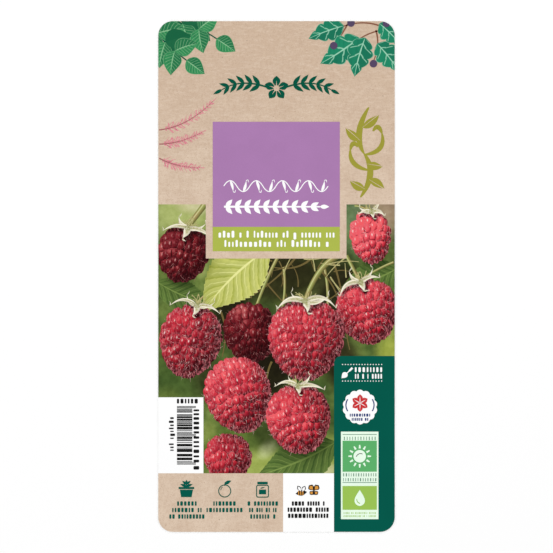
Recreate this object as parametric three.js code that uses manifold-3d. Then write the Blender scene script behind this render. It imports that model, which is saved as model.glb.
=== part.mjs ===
// A printed plant label card for a raspberry bush: a stiff plastic card that lies on its plain back.
// The print is built up from thin films on the card: first the fields of colour, side by side, then
// the panels and the inlays of the picture, then the marks on the panels.
// Millimetres. +Z is the normal of the print, +Y points to the card's top, and the origin is the
// centre of the card's back.

import * as THREE from "three";
import { mergeVertices } from "three/addons/utils/BufferGeometryUtils.js";
import Module from "manifold-3d";

// ---------------------------------------------------------------------------------------------
// Driving dimensions
// ---------------------------------------------------------------------------------------------

const CARD = { width: 100, length: 216, thickness: 0.4, corner: 6.2 };
const FILM = 0.1; // thickness of one printed film
const GAP = 0.3; // clearance between two inlays of one film
const ARC_STEPS = 10; // facets of a rounded corner
const FLATNESS = 0.02; // how far a simplified outline may move

const EDGE = {
  left: -CARD.width / 2, right: CARD.width / 2, foot: -CARD.length / 2, head: CARD.length / 2,
};

const HEADER_FOOT = 30.5; // lower edge of the kraft header beside its tongue
const TONGUE = { left: -29.9, right: 29.6, foot: 7.6 };
const FOOTER_HEAD = -83.2; // lower edge of the picture
const KRAFT_FOOTER_RIGHT = 2.8;
const STRIP = { left: 24.3, head: -33.6, corner: 3 };
const CODE_BOX = { right: -30.9, head: -51.1 };

const NAME_PANEL = { left: -26.95, right: 26.75, foot: 21, head: 65.4 };
const NAME_BAND_FOOT = 10.7;
const BADGE = { left: 27.25, right: 43.1, foot: -102.6, head: -65.6 };
const BADGE_SIDE = 0.7; // pale margin at the sides of the badge's two fields
const BADGE_UPPER = { foot: -82.5, head: -69.45 };
const BADGE_LOWER = { foot: -98.6, head: -88.6 };
const SEAL = { x: 35.3, y: -55.2, radius: 7.4, scallops: 14 };

const CODE = {
  left: -42.1, right: -34.1, foot: -79.5, head: -54.8, spine: 0.35, guard: 1.5, module: 0.37,
};
const NAME_LINE = {
  y: 38.2, left: -22.3, right: 21.8, stem: 0.5, bends: 8, swing: 4.6, leafRise: 2.3, leafWidth: 1.3,
};
const NAME_BOLD_LINE = {
  y: 29.5, left: -22.2, right: 21.8, stem: 0.9, pairs: 11, reach: 4.1, width: 1.9,
};
const EMBLEM = { x: 0, y: 79.6, halfWidth: 27, rise: 4.6, petal: 5.2, pairs: 6, reach: 5.2, width: 1.8 };
const SEAL_FLOWER = { rise: 1.7, reach: 3.8, petals: 6 };
const SUN = { reach: 4.8, disc: 0.55, rayStart: 0.45, rayFoot: 0.16, rayTip: 0.1, rays: 8 }; // by its reach
const DROP = { reach: 3.4, width: 4.42 };
const TROWEL = { x: 30.2, y: -40.9 };
const PLUME = { pairs: 8, reach: 3.4, width: 1.0, spread: 0.8 }; // florets of a pink plume
const SYMBOLS = { // the middle of each care symbol
  pot: [-38.1, -89.9], fruit: [-21.9, -90.1], jar: [-5.9, -90], butterfly: [15.8, -90.6], bee: [10.5, -91.4],
};

const DRUPELET = 3; // size of one grain of a raspberry
const PITCH = { around: 0.8, along: 1.05 }; // between grains, by their size
const GRAIN = { radius: 0.57, uneven: 0.1, slim: 0.84, tall: 1.12 }; // taller along the berry than across it
const STRAY = 0.42; // how unevenly the grains are set, as a share of their pitch
const SHOULDER = 0.15; // how much fuller a raspberry is at its stalk end
const LEAN = 0.35; // how far its tip leans towards the viewer
const RIM = { inset: 0.9, back: 0.12, from: 0.86 }; // which grains shape the outline
const DISC_SIDES = 10;
const GRAIN_SIDES = 10;
const ORNAMENT_STEPS = 5; // facets along a leaf of the two leafy ornaments

// ---------------------------------------------------------------------------------------------
// Plane outlines, as lists of THREE.Vector2
// ---------------------------------------------------------------------------------------------

const point = (x, y) => new THREE.Vector2(x, y);
const polar = (centre, radius, angle) =>
  point(centre.x + radius * Math.cos(angle), centre.y + radius * Math.sin(angle));

// A polygon of axis-parallel sides. Each corner is [x, y, radius].
function cornered(corners) {
  const outline = [];
  corners.forEach(([x, y, radius = 0], i) => {
    if (!radius) {
      outline.push(point(x, y));
      return;
    }
    const here = point(x, y);
    const before = point(...corners[(i + corners.length - 1) % corners.length]).sub(here).normalize();
    const after = point(...corners[(i + 1) % corners.length]).sub(here).normalize();
    for (let k = 0; k <= ARC_STEPS; k++) {
      const angle = (Math.PI / 2) * (k / ARC_STEPS);
      const alongBefore = radius * (1 - Math.sin(angle));
      const alongAfter = radius * (1 - Math.cos(angle));
      outline.push(point(
        x + before.x * alongBefore + after.x * alongAfter,
        y + before.y * alongBefore + after.y * alongAfter,
      ));
    }
  });
  return outline;
}

function rectangle({ left, right, foot, head }) {
  return cornered([[left, foot], [right, foot], [right, head], [left, head]]);
}

function disc(x, y, radius, sides = DISC_SIDES) {
  return Array.from({ length: sides }, (_, k) => polar({ x, y }, radius, (2 * Math.PI * k) / sides));
}

// Point and direction on the curve of a start, a control and an end point.
function along([start, control, end], t) {
  const curve = new THREE.QuadraticBezierCurve(point(...start), point(...control), point(...end));
  return { at: curve.getPoint(t), direction: curve.getTangent(t) };
}

// A ribbon along a curve, as wide as width0 at its start and width1 at its end.
function ribbon(path, width0, width1, grow = 0, steps = 8) {
  const right = [];
  const left = [];
  for (let k = 0; k <= steps; k++) {
    const { at, direction } = along(path, k / steps);
    const half = (width0 + (width1 - width0) * (k / steps)) / 2 + grow;
    right.push(point(at.x + direction.y * half, at.y - direction.x * half));
    left.push(point(at.x - direction.y * half, at.y + direction.x * half));
  }
  return [...right, ...left.reverse()];
}

// A leaf from its base to its tip: bend bows its midrib, full moves its widest place, and edge
// shapes its margin, from the place along the leaf, 0 to 1.
function leaf({ base, tip, width, bend = 0, full = 0.8, edge = () => 1, steps = 10 }, grow = 0) {
  const axis = point(...tip).sub(point(...base));
  const unit = axis.clone().normalize();
  const start = [base[0] - unit.x * grow, base[1] - unit.y * grow];
  const end = [tip[0] + unit.x * grow * 2, tip[1] + unit.y * grow * 2];
  const control = [
    (base[0] + tip[0]) / 2 - axis.y * bend,
    (base[1] + tip[1]) / 2 + axis.x * bend,
  ];
  const right = [];
  const left = [];
  for (let k = 1; k < steps; k++) {
    const t = k / steps;
    const { at, direction } = along([start, control, end], t);
    const half = (width / 2) * Math.sin(Math.PI * t ** full) * edge(t, k) + grow;
    right.push(point(at.x + direction.y * half, at.y - direction.x * half));
    left.push(point(at.x - direction.y * half, at.y + direction.x * half));
  }
  return [point(...start), ...right, point(...end), ...left.reverse()];
}

const toothed = (depth) => (t, k) => (k % 2 ? 1 + depth : 1 - depth);
const lobed = (lobes, depth) => (t) => 1 - depth * (1 - Math.abs(Math.sin(Math.PI * lobes * t)) ** 0.6);

// Pairs of leaves along a stalk, with one at its end. spread is the angle between leaf and stalk.
function pairsAlong({ path, pairs, first = 0.15, reach, width, spread, taper = 0.35, full = 0.8 }) {
  const leaves = [];
  for (let k = 0; k < pairs; k++) {
    const t = first + (0.94 - first) * (k / pairs);
    const { at, direction } = along(path, t);
    const heading = Math.atan2(direction.y, direction.x);
    const size = 1 - taper * t;
    for (const side of [-1, 1]) {
      const tip = polar(at, reach * size, heading + side * spread);
      leaves.push({ base: [at.x, at.y], tip: [tip.x, tip.y], width: width * size, full });
    }
  }
  const { at, direction } = along(path, 0.97);
  const tip = polar(at, reach * (1 - taper), Math.atan2(direction.y, direction.x));
  leaves.push({ base: [at.x, at.y], tip: [tip.x, tip.y], width: width * (1 - taper), full });
  return leaves;
}

// ---------------------------------------------------------------------------------------------
// Solids
// ---------------------------------------------------------------------------------------------

const wasm = await Module();
wasm.setup();

function plate(outline, thickness = FILM, holes = []) {
  const shape = new THREE.Shape(outline);
  shape.holes = holes.map((hole) => new THREE.Path(hole));
  return new THREE.ExtrudeGeometry(shape, { depth: thickness, bevelEnabled: false });
}

function solidOf(geometry) {
  const bare = geometry.clone();
  bare.deleteAttribute("normal");
  bare.deleteAttribute("uv");
  const merged = mergeVertices(bare, 1e-4);
  return new wasm.Manifold(new wasm.Mesh({
    numProp: 3,
    vertProperties: merged.attributes.position.array,
    triVerts: new Uint32Array(merged.index.array),
  }));
}

// Back to a geometry, with the flat faces that the joins and cuts have split made whole again.
function geometryOf(solid) {
  const mesh = solid.asOriginal().simplify(FLATNESS).getMesh();
  const geometry = new THREE.BufferGeometry();
  geometry.setAttribute("position", new THREE.BufferAttribute(mesh.vertProperties, 3));
  geometry.setIndex(new THREE.BufferAttribute(mesh.triVerts, 1));
  geometry.computeVertexNormals();
  return geometry;
}

const joined = (outlines, thickness = FILM) =>
  outlines.map((outline) => solidOf(plate(outline, thickness))).reduce((a, b) => a.add(b));

// The largest single body of a solid: scraps that a cut leaves loose are dropped.
const largest = (solid) => solid.decompose().reduce((a, b) => (b.volume() > a.volume() ? b : a));

// A cutter is the outlines' solid made tall, so that it passes right through a film.
const cutter = (outlines) => joined(outlines, 4 * FILM).translate([0, 0, -1.5 * FILM]);

// ---------------------------------------------------------------------------------------------
// The scene graph
// ---------------------------------------------------------------------------------------------

const label = new THREE.Group();
const layers = {};
["card", "fields", "panels", "marks", "symbols"].forEach((name, i) => {
  layers[name] = new THREE.Group();
  layers[name].position.z = i === 0 ? 0 : CARD.thickness + (i - 1) * FILM;
  label.add(layers[name]);
});

const finish = (color, roughness = 0.45) =>
  new THREE.MeshStandardMaterial({ color, roughness, metalness: 0 });
const INK = {
  core: finish(0xf4f3f0, 0.5),
  kraft: finish(0xd8c1ac, 0.7),
  white: finish(0xfcfcfb),
  picture: finish(0x5f7f45),
  strip: finish(0x04594a),
  purple: finish(0xab7cb0),
  lime: finish(0xb1bb50),
  pale: finish(0xdbf8e2),
  green: finish(0x5ab96e),
  fresh: finish(0x9bc358),
  darkGreen: finish(0x0b5a44),
  leafGreen: finish(0x2f8f58),
  teal: finish(0x177a68),
  pink: finish(0xe0889a),
  olive: finish(0xa5a03c),
  black: finish(0x1c1c1c),
  berry: finish(0xb81f44),
  darkBerry: finish(0x861a38),
  freshLeaf: finish(0xb4bf4c),
  deepLeaf: finish(0x48733a),
  cane: finish(0x9fa356),
  sepal: finish(0xd9dcae),
};

function place(layer, name, geometry, material) {
  const mesh = new THREE.Mesh(geometry, material);
  mesh.name = name;
  layers[layer].add(mesh);
}

// ---------------------------------------------------------------------------------------------
// The card and its fields of colour
// ---------------------------------------------------------------------------------------------

const R = CARD.corner;
const CARD_OUTLINE = cornered([
  [EDGE.left, EDGE.foot, R], [EDGE.right, EDGE.foot, R],
  [EDGE.right, EDGE.head, R], [EDGE.left, EDGE.head, R],
]);
const HEADER_OUTLINE = cornered([
  [EDGE.left, HEADER_FOOT], [TONGUE.left, HEADER_FOOT],
  [TONGUE.left, TONGUE.foot], [TONGUE.right, TONGUE.foot],
  [TONGUE.right, HEADER_FOOT], [EDGE.right, HEADER_FOOT],
  [EDGE.right, EDGE.head, R], [EDGE.left, EDGE.head, R],
]);
const PICTURE_OUTLINE = cornered([
  [CODE_BOX.right, FOOTER_HEAD], [STRIP.left, FOOTER_HEAD],
  [STRIP.left, STRIP.head, STRIP.corner], [EDGE.right, STRIP.head],
  [EDGE.right, HEADER_FOOT], [TONGUE.right, HEADER_FOOT],
  [TONGUE.right, TONGUE.foot], [TONGUE.left, TONGUE.foot],
  [TONGUE.left, HEADER_FOOT], [EDGE.left, HEADER_FOOT],
  [EDGE.left, CODE_BOX.head], [CODE_BOX.right, CODE_BOX.head],
]);

place("card", "card_body", plate(CARD_OUTLINE, CARD.thickness), INK.core);
place("fields", "kraft_header_field", plate(HEADER_OUTLINE), INK.kraft);
place("fields", "picture_field", plate(PICTURE_OUTLINE), INK.picture);
place("fields", "code_box_field", plate(rectangle({
  left: EDGE.left, right: CODE_BOX.right, foot: FOOTER_HEAD, head: CODE_BOX.head,
})), INK.white);
place("fields", "kraft_footer_field", plate(cornered([
  [EDGE.left, EDGE.foot, R], [KRAFT_FOOTER_RIGHT, EDGE.foot],
  [KRAFT_FOOTER_RIGHT, FOOTER_HEAD], [EDGE.left, FOOTER_HEAD],
])), INK.kraft);
place("fields", "white_footer_field", plate(rectangle({
  left: KRAFT_FOOTER_RIGHT, right: STRIP.left, foot: EDGE.foot, head: FOOTER_HEAD,
})), INK.white);
place("fields", "side_strip_field", plate(cornered([
  [STRIP.left, EDGE.foot], [EDGE.right, EDGE.foot, R],
  [EDGE.right, STRIP.head], [STRIP.left, STRIP.head, STRIP.corner],
])), INK.strip);

// ---------------------------------------------------------------------------------------------
// Panels and badges on the fields
// ---------------------------------------------------------------------------------------------

const badgeField = ({ foot, head }) => rectangle({
  left: BADGE.left + BADGE_SIDE, right: BADGE.right - BADGE_SIDE, foot, head,
});
const badgeCentre = (BADGE.left + BADGE.right) / 2;
const middle = ({ foot, head }) => (foot + head) / 2;

place("panels", "name_panel", plate(rectangle(NAME_PANEL)), INK.purple);
place("panels", "name_band", plate(rectangle({
  ...NAME_PANEL, foot: NAME_BAND_FOOT, head: NAME_PANEL.foot,
})), INK.lime);
place("panels", "badge_frame", plate(rectangle(BADGE)), INK.pale);
place("marks", "badge_upper_field", plate(badgeField(BADGE_UPPER)), INK.green);
place("marks", "badge_lower_field", plate(badgeField(BADGE_LOWER)), INK.fresh);

// The round seal has a scalloped rim.
function sealOutline() {
  const stepsPerScallop = 4;
  const count = SEAL.scallops * stepsPerScallop;
  return Array.from({ length: count }, (_, k) => {
    const wave = Math.abs(Math.sin((Math.PI * k) / stepsPerScallop));
    return polar(SEAL, SEAL.radius * (0.92 + 0.08 * wave), (2 * Math.PI * k) / count);
  });
}
place("panels", "seal_badge", plate(sealOutline()), INK.white);

// A flower of round-ended petals about its centre.
function flower(x, y, reach, petals) {
  const heart = reach * 0.3;
  const width = reach * 0.62;
  const outlines = [disc(x, y, heart, 12)];
  for (let k = 0; k < petals; k++) {
    const tip = polar({ x, y }, reach, Math.PI / 2 + (2 * Math.PI * k) / petals);
    outlines.push(leaf({ base: [x, y], tip: [tip.x, tip.y], width, full: 1.35, steps: 8 }));
  }
  return outlines;
}
place("marks", "seal_flower", geometryOf(joined(
  flower(SEAL.x, SEAL.y + SEAL_FLOWER.rise, SEAL_FLOWER.reach, SEAL_FLOWER.petals),
)), INK.berry);

// The badge's upper symbol is a sun, its lower one a watering drop.
function sun(x, y) {
  const outlines = [disc(x, y, SUN.reach * SUN.disc, 16)];
  for (let k = 0; k < SUN.rays; k++) {
    const angle = (2 * Math.PI * k) / SUN.rays;
    const path = [SUN.rayStart, (SUN.rayStart + 1) / 2, 1].map((share) => {
      const at = polar({ x, y }, SUN.reach * share, angle);
      return [at.x, at.y];
    });
    outlines.push(ribbon(path, SUN.reach * SUN.rayFoot, SUN.reach * SUN.rayTip, 0, 2));
  }
  return outlines;
}
function drop(x, y) {
  return [leaf({
    base: [x, y - DROP.reach], tip: [x, y + DROP.reach], width: DROP.width, full: 0.62, steps: 12,
  })];
}
place("symbols", "badge_sun", geometryOf(joined(sun(badgeCentre, middle(BADGE_UPPER)))), INK.pale);
place("symbols", "badge_drop", geometryOf(joined(drop(badgeCentre, middle(BADGE_LOWER)))), INK.pale);

// A trowel at the head of the strip: blade, neck and grip.
const onTrowel = (x, y) => [TROWEL.x + x, TROWEL.y + y];
place("panels", "strip_trowel", geometryOf(joined([
  leaf({ base: onTrowel(-0.4, 0.2), tip: onTrowel(-2.7, -2.1), width: 2.4, full: 0.7 }),
  ribbon([onTrowel(-1, -0.5), onTrowel(0, 0.4), onTrowel(0.7, 1.1)], 0.4, 0.4, 0, 3),
  ribbon([onTrowel(0.5, 0.9), onTrowel(1.2, 1.6), onTrowel(1.9, 2.3)], 0.8, 0.9, 0, 3),
])), INK.white);

// ---------------------------------------------------------------------------------------------
// Ornaments in the places of names: a tendril, a row of leaves and a garland
// ---------------------------------------------------------------------------------------------

// A thin wavy tendril with a small leaf in each bend.
function tendril({ y, left, right, stem, bends, swing, leafRise, leafWidth }) {
  const pitch = (right - left) / bends;
  const outlines = [];
  for (let k = 0; k < bends; k++) {
    const side = k % 2 ? -1 : 1;
    const start = left + k * pitch;
    const peak = start + pitch / 2;
    outlines.push(ribbon([[start, y], [peak, y + side * swing], [start + pitch, y]], stem, stem, 0.02));
    outlines.push(leaf({
      base: [peak, y + side * leafRise],
      tip: [start + pitch * 0.72, y - side * leafRise],
      width: leafWidth, full: 0.7, steps: 5,
    }));
  }
  return outlines;
}
place("marks", "name_tendril", geometryOf(joined(tendril(NAME_LINE))), INK.white);

// A bold row of paired leaves on a straight stem, which ends short of the last leaf's tip.
const BOLD_STEM_END = NAME_BOLD_LINE.right - 3.4;
const BOLD_PATH = [
  [NAME_BOLD_LINE.left, NAME_BOLD_LINE.y],
  [(NAME_BOLD_LINE.left + BOLD_STEM_END) / 2, NAME_BOLD_LINE.y],
  [BOLD_STEM_END, NAME_BOLD_LINE.y],
];
const boldLeaves = pairsAlong({
  ...NAME_BOLD_LINE, path: BOLD_PATH, first: 0.02, spread: 0.85, taper: 0.05,
});
place("marks", "name_leaf_row", geometryOf(joined([
  ribbon(BOLD_PATH, NAME_BOLD_LINE.stem, NAME_BOLD_LINE.stem, 0, 2),
  ...boldLeaves.map((spec) => leaf({ ...spec, steps: ORNAMENT_STEPS })),
])), INK.white);

// Two leafy arms on both sides of a five-petalled flower.
function garland({ x, y, halfWidth, rise, petal, pairs, reach, width }) {
  const outlines = flower(x, y, petal, 5);
  for (const side of [-1, 1]) {
    const path = [
      [x + side * petal * 0.5, y],
      [x + side * halfWidth * 0.55, y + rise],
      [x + side * (halfWidth - 4), y - 0.6],
    ];
    outlines.push(ribbon(path, 0.8, 0.5));
    pairsAlong({ path, pairs, first: 0.22, reach, width, spread: 0.75, taper: 0.2 })
      .forEach((spec) => outlines.push(leaf({ ...spec, steps: ORNAMENT_STEPS })));
  }
  return outlines;
}
place("panels", "emblem_garland", geometryOf(joined(garland(EMBLEM))), INK.darkGreen);

// ---------------------------------------------------------------------------------------------
// Drawn plants on the kraft header, trimmed at the card's edge
// ---------------------------------------------------------------------------------------------

const header = cutter([HEADER_OUTLINE]);
const onHeader = (outlines) => geometryOf(largest(joined(outlines).intersect(header)));

// Pinnate leaves in the left corner, over broader ones.
const LEFT_SPRAYS = [
  { path: [[-52, 107], [-38, 109.5], [-24.5, 100]], pairs: 3, reach: 12, width: 9.4, spread: 0.98 },
  { path: [[-53, 106], [-47, 98], [-37.5, 91]], pairs: 3, reach: 12, width: 9.2, spread: 1.02 },
];
const LEFT_UNDER = [
  { base: [-47, 107], tip: [-36.5, 97.5], width: 9 },
  { base: [-38, 108], tip: [-28, 99.5], width: 8.4 },
  { base: [-50, 98], tip: [-43, 88.5], width: 8.6 },
];
const leftSpray = [
  ...LEFT_UNDER.map((spec) => leaf({ ...spec, full: 0.7, bend: 0.06, steps: 14 })),
  ...LEFT_SPRAYS.flatMap((spray) => [
    ribbon(spray.path, 1.1, 0.7),
    ...pairsAlong({ ...spray, first: 0.2, taper: 0.2, full: 0.7 })
      .map((spec) => leaf({ ...spec, steps: 14 })),
  ]),
];
place("panels", "leaf_spray_left", onHeader(leftSpray), INK.leafGreen);

// Lobed leaves and small round fruits on twigs in the right corner.
const RIGHT_TWIGS = [
  [[53, 104], [42, 106], [33, 99]],
  [[46, 105], [36, 110], [24, 104]],
  [[42, 104.2], [44, 98], [41, 91]],
  [[30, 106.6], [27, 101], [24.5, 98.6]],
];
const RIGHT_LEAVES = [
  { base: [35, 101], tip: [18.5, 90], width: 12.5 },
  { base: [37.5, 101], tip: [33, 84.5], width: 11.5 },
  { base: [42.5, 98.5], tip: [52, 86.5], width: 10.5 },
  { base: [28.5, 106], tip: [13.5, 100.5], width: 9.5 },
  { base: [43.5, 107], tip: [53, 97.5], width: 9 },
];
const RIGHT_FRUITS = [[41, 90], [31.5, 107.2], [46.5, 107], [24.2, 97.6]];
const rightSpray = [
  ...RIGHT_TWIGS.map((path) => ribbon(path, 0.9, 0.7)),
  ...RIGHT_LEAVES.map((spec) => leaf({ ...spec, full: 0.7, edge: lobed(4, 0.3), steps: 36 })),
  ...RIGHT_FRUITS.map(([x, y]) => disc(x, y, 1.6, 14)),
];
place("panels", "leaf_spray_right", onHeader(rightSpray), INK.teal);

// Three pink plumes at the left edge.
const PLUMES = [
  [[-52, 62], [-38, 63], [-27, 74]],
  [[-52, 56], [-41, 56], [-31.5, 61]],
  [[-52, 50], [-42, 46], [-32.5, 46]],
];
PLUMES.forEach((path, i) => {
  const florets = pairsAlong({ ...PLUME, path, first: 0.12, taper: 0.4 });
  place("panels", `pink_plume_${i + 1}`, onHeader([
    ribbon(path, 0.6, 0.4),
    ...florets.map((spec) => leaf({ ...spec, steps: 4 })),
  ]), INK.pink);
});

// An upright vine with curling ends at the right.
const VINE = {
  stems: [
    [[35.5, 33.5], [43, 44], [37, 52]],
    [[37, 52], [32, 60], [39, 71.5]],
    [[37.2, 51.5], [46.5, 52.5], [44.6, 60.5]],
    [[38.9, 45], [30.5, 46.5], [31.2, 53.5]],
    [[44.6, 60.5], [43, 65.3], [40.8, 61.5]],
    [[31.2, 53.5], [32.2, 58.2], [34.4, 54.8]],
  ],
  leaves: [
    { base: [39.2, 41], tip: [45.6, 37] },
    { base: [38.4, 47.6], tip: [45, 46.6] },
    { base: [35.4, 57.5], tip: [29.2, 63] },
    { base: [36.3, 63], tip: [43.4, 68.6] },
    { base: [37.4, 37], tip: [31, 40.6] },
  ],
};
place("panels", "vine_ornament", onHeader([
  ...VINE.stems.map((path) => ribbon(path, 1.4, 1.2, 0, 8)),
  ...VINE.leaves.map((spec) => leaf({ ...spec, width: 3.5, steps: 8 })),
]), INK.olive);

// ---------------------------------------------------------------------------------------------
// The picture: raspberries, leaves and stalks as inlays in one film
// ---------------------------------------------------------------------------------------------

// A number from 0 to 1 that looks random and is always the same for the same input.
function scatter(index, seed) {
  const value = Math.sin(index * 127.1 + seed * 311.7) * 43758.5453;
  return value - Math.floor(value);
}

// The grains of a raspberry, in uneven rings round an egg whose tip leans towards the viewer:
// the place and radius of each, and its height over the middle of the berry.
function drupelets({ x, y, width, length, turn, seed }) {
  const inset = DRUPELET * 0.42;
  const core = width / 2 - inset;
  const half = length / 2 - inset;
  const rings = Math.round((Math.PI * (core + half)) / 2 / (DRUPELET * PITCH.along));
  const grains = [];
  for (let k = 0; k < rings; k++) {
    const ringAngle = (Math.PI * (k + 0.5)) / rings;
    const round = 2 * Math.PI * core * Math.sin(ringAngle);
    const count = Math.max(1, Math.round(round / (DRUPELET * PITCH.around)));
    for (let j = 0; j < count; j++) {
      const [size, aslant, aside] = [0, 20, 40].map((start) => scatter(grains.length, seed + start) - 0.5);
      const polarAngle = ringAngle + (STRAY * aslant * Math.PI) / rings;
      const radius = core * Math.sin(polarAngle) * (1 + SHOULDER * Math.cos(polarAngle));
      const height = half * Math.cos(polarAngle);
      const angle = (2 * Math.PI * (j + 0.5 * (k % 2) + STRAY * aside)) / count + seed;
      const across = radius * Math.cos(angle);
      const forward = radius * Math.sin(angle);
      const up = height * Math.cos(LEAN) + forward * Math.sin(LEAN);
      grains.push({
        x: x + across * Math.cos(turn) - up * Math.sin(turn),
        y: y + across * Math.sin(turn) + up * Math.cos(turn),
        z: forward * Math.cos(LEAN) - height * Math.sin(LEAN),
        radius: DRUPELET * (GRAIN.radius + GRAIN.uneven * size),
      });
    }
  }
  return grains;
}

// An oval in a turned frame, as wide and tall as twice its two reaches.
function oval({ x, y }, across, up, turn, sides) {
  return Array.from({ length: sides }, (_, k) => {
    const angle = (2 * Math.PI * k) / sides;
    const a = across * Math.cos(angle);
    const b = up * Math.sin(angle);
    return point(x + a * Math.cos(turn) - b * Math.sin(turn), y + a * Math.sin(turn) + b * Math.cos(turn));
  });
}

// Only the grains at the rim shape the outline: the middle is one smooth egg.
function berry(spec, grow) {
  const { x, y, width, length, turn } = spec;
  const reach = { across: width / 2 - DRUPELET * RIM.inset, up: length / 2 - DRUPELET * RIM.inset };
  const rim = drupelets(spec).filter((grain) => {
    const far = Math.hypot((grain.x - x) / reach.across, (grain.y - y) / reach.up);
    return grain.z > -RIM.back * width && far > RIM.from;
  });
  const grains = rim.map((grain) => oval(
    grain, grain.radius * GRAIN.slim + grow, grain.radius * GRAIN.tall + grow, turn, GRAIN_SIDES,
  ));
  return [oval(spec, reach.across, reach.up, turn, 24), ...grains];
}

// Sepals from back to front: lean is the turn away from the berry's tip.
const SEPALS = [
  { lean: -2.3, reach: 0.8, width: 0.8, bow: 0.3 },
  { lean: 2.2, reach: 0.85, width: 0.8, bow: -0.3 },
  { lean: -1.4, reach: 1.1, width: 0.9, bow: -0.34 },
  { lean: 1.35, reach: 1.05, width: 0.95, bow: 0.32 },
  { lean: 0.1, reach: 0.42, width: 1.2, bow: 0.2 },
];

// Narrow sepals that spread unevenly from the stalk end of a berry.
function calyx({ x, y, turn, reach, width, seed }, grow) {
  const sepals = SEPALS.map((sepal, k) => {
    const [aside, longer, bowed, wider] = [0, 7, 13, 29].map((start) => scatter(k, seed + start) - 0.5);
    const heading = turn - Math.PI / 2 + sepal.lean + 0.75 * aside;
    const tip = polar({ x, y }, reach * sepal.reach * (1 + 0.5 * longer), heading);
    return leaf({
      base: [x, y], tip: [tip.x, tip.y], bend: sepal.bow * (1 + 0.9 * bowed), full: 0.5, steps: 10,
      width: width * sepal.width * (1 + 0.5 * wider) + 0.3,
    }, grow);
  });
  return [disc(x, y, 1.2 + grow), ...sepals];
}

const stalk = ({ path, width0, width1 }, grow) => [ribbon(path, width0, width1, grow)];
const foliage = (spec, grow) => [leaf({ ...spec, edge: toothed(0.05), steps: 30 }, grow)];

const inPicture = (make, ink) => (name, spec) => ({ name, make, ink, ...spec });
const sepals = inPicture(calyx, INK.sepal);
const fruit = inPicture(berry, INK.berry);
const darkFruit = inPicture(berry, INK.darkBerry);
const cane = inPicture(stalk, INK.cane);
const freshLeaf = inPicture(foliage, INK.freshLeaf);
const deepLeaf = inPicture(foliage, INK.deepLeaf);

// From front to back: a piece is cut clear of each piece before it.
const PICTURE = [
  sepals("calyx_centre", { x: 12, y: -10.5, turn: -0.1, reach: 11, width: 2.4, seed: 1 }),
  sepals("calyx_right", { x: 35.5, y: -2.4, turn: 0.25, reach: 9.8, width: 2.2, seed: 2 }),
  sepals("calyx_upper_left", { x: -37.5, y: 20.5, turn: -0.25, reach: 9.4, width: 2.1, seed: 3 }),
  sepals("calyx_lower", { x: 9, y: -46.4, turn: 0.15, reach: 9, width: 2.1, seed: 4 }),
  sepals("calyx_left", { x: -33.6, y: -12.4, turn: -0.2, reach: 9.6, width: 2.1, seed: 5 }),
  sepals("calyx_upper_right", { x: 40.2, y: 27.4, turn: 0.1, reach: 7.2, width: 1.9, seed: 6 }),
  fruit("berry_centre", { x: 12.5, y: -27, width: 32, length: 34, turn: -0.08, seed: 1 }),
  fruit("berry_lower", { x: 9.5, y: -60.5, width: 27, length: 29, turn: 0.16, seed: 2 }),
  fruit("berry_lower_left", { x: -16, y: -50.5, width: 28, length: 32, turn: 0.3, seed: 3 }),
  fruit("berry_right", { x: 38.5, y: -15, width: 26, length: 27, turn: 0.25, seed: 4 }),
  fruit("berry_left", { x: -36.5, y: -27.5, width: 26, length: 31, turn: -0.2, seed: 5 }),
  darkFruit("berry_upper_left", { x: -39.5, y: 9.5, width: 22, length: 24, turn: -0.2, seed: 6 }),
  fruit("berry_upper_right", { x: 39.8, y: 16.5, width: 17.5, length: 22.5, turn: 0.12, seed: 7 }),
  fruit("berry_foot", { x: -20.5, y: -77, width: 20, length: 20, turn: 0, seed: 8 }),
  freshLeaf("leaf_upper", { base: [-3, 12], tip: [-31, -15], width: 23, bend: -0.1 }),
  darkFruit("berry_back", { x: -11, y: -24, width: 23, length: 25, turn: 0.1, seed: 9 }),
  cane("cane", { path: [[27, 9], [18, 6], [12.4, -9.4]], width0: 2.6, width1: 2 }),
  cane("stalk_back", { path: [[1, 9], [-4, 0], [-8.5, -12.5]], width0: 1.5, width1: 1.2 }),
  cane("stalk_right", { path: [[29.6, 9], [32, 4], [34.8, -1]], width0: 1.6, width1: 1.4 }),
  deepLeaf("leaf_foot", { base: [25, -70], tip: [-8, -84], width: 20, bend: 0.08 }),
  deepLeaf("leaf_right", { base: [52, 4], tip: [27, -5], width: 17, bend: 0.1 }),
  deepLeaf("leaf_left", { base: [-51, -2], tip: [-26, -12], width: 13, bend: -0.1 }),
];
const picture = cutter([PICTURE_OUTLINE]);
let inFront = null;
for (const piece of PICTURE) {
  let solid = joined(piece.make(piece, 0)).intersect(picture);
  if (inFront) solid = solid.subtract(inFront);
  place("panels", piece.name, geometryOf(largest(solid)), piece.ink);
  const clear = cutter(piece.make(piece, GAP));
  inFront = inFront ? inFront.add(clear) : clear;
}

// ---------------------------------------------------------------------------------------------
// Care symbols in the footer and the bar code
// ---------------------------------------------------------------------------------------------

// A straight stroke of even width.
function stroke([[x0, y0], [x1, y1]], width = 0.5) {
  return ribbon([[x0, y0], [(x0 + x1) / 2, (y0 + y1) / 2], [x1, y1]], width, width, 0.01, 6);
}

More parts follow.
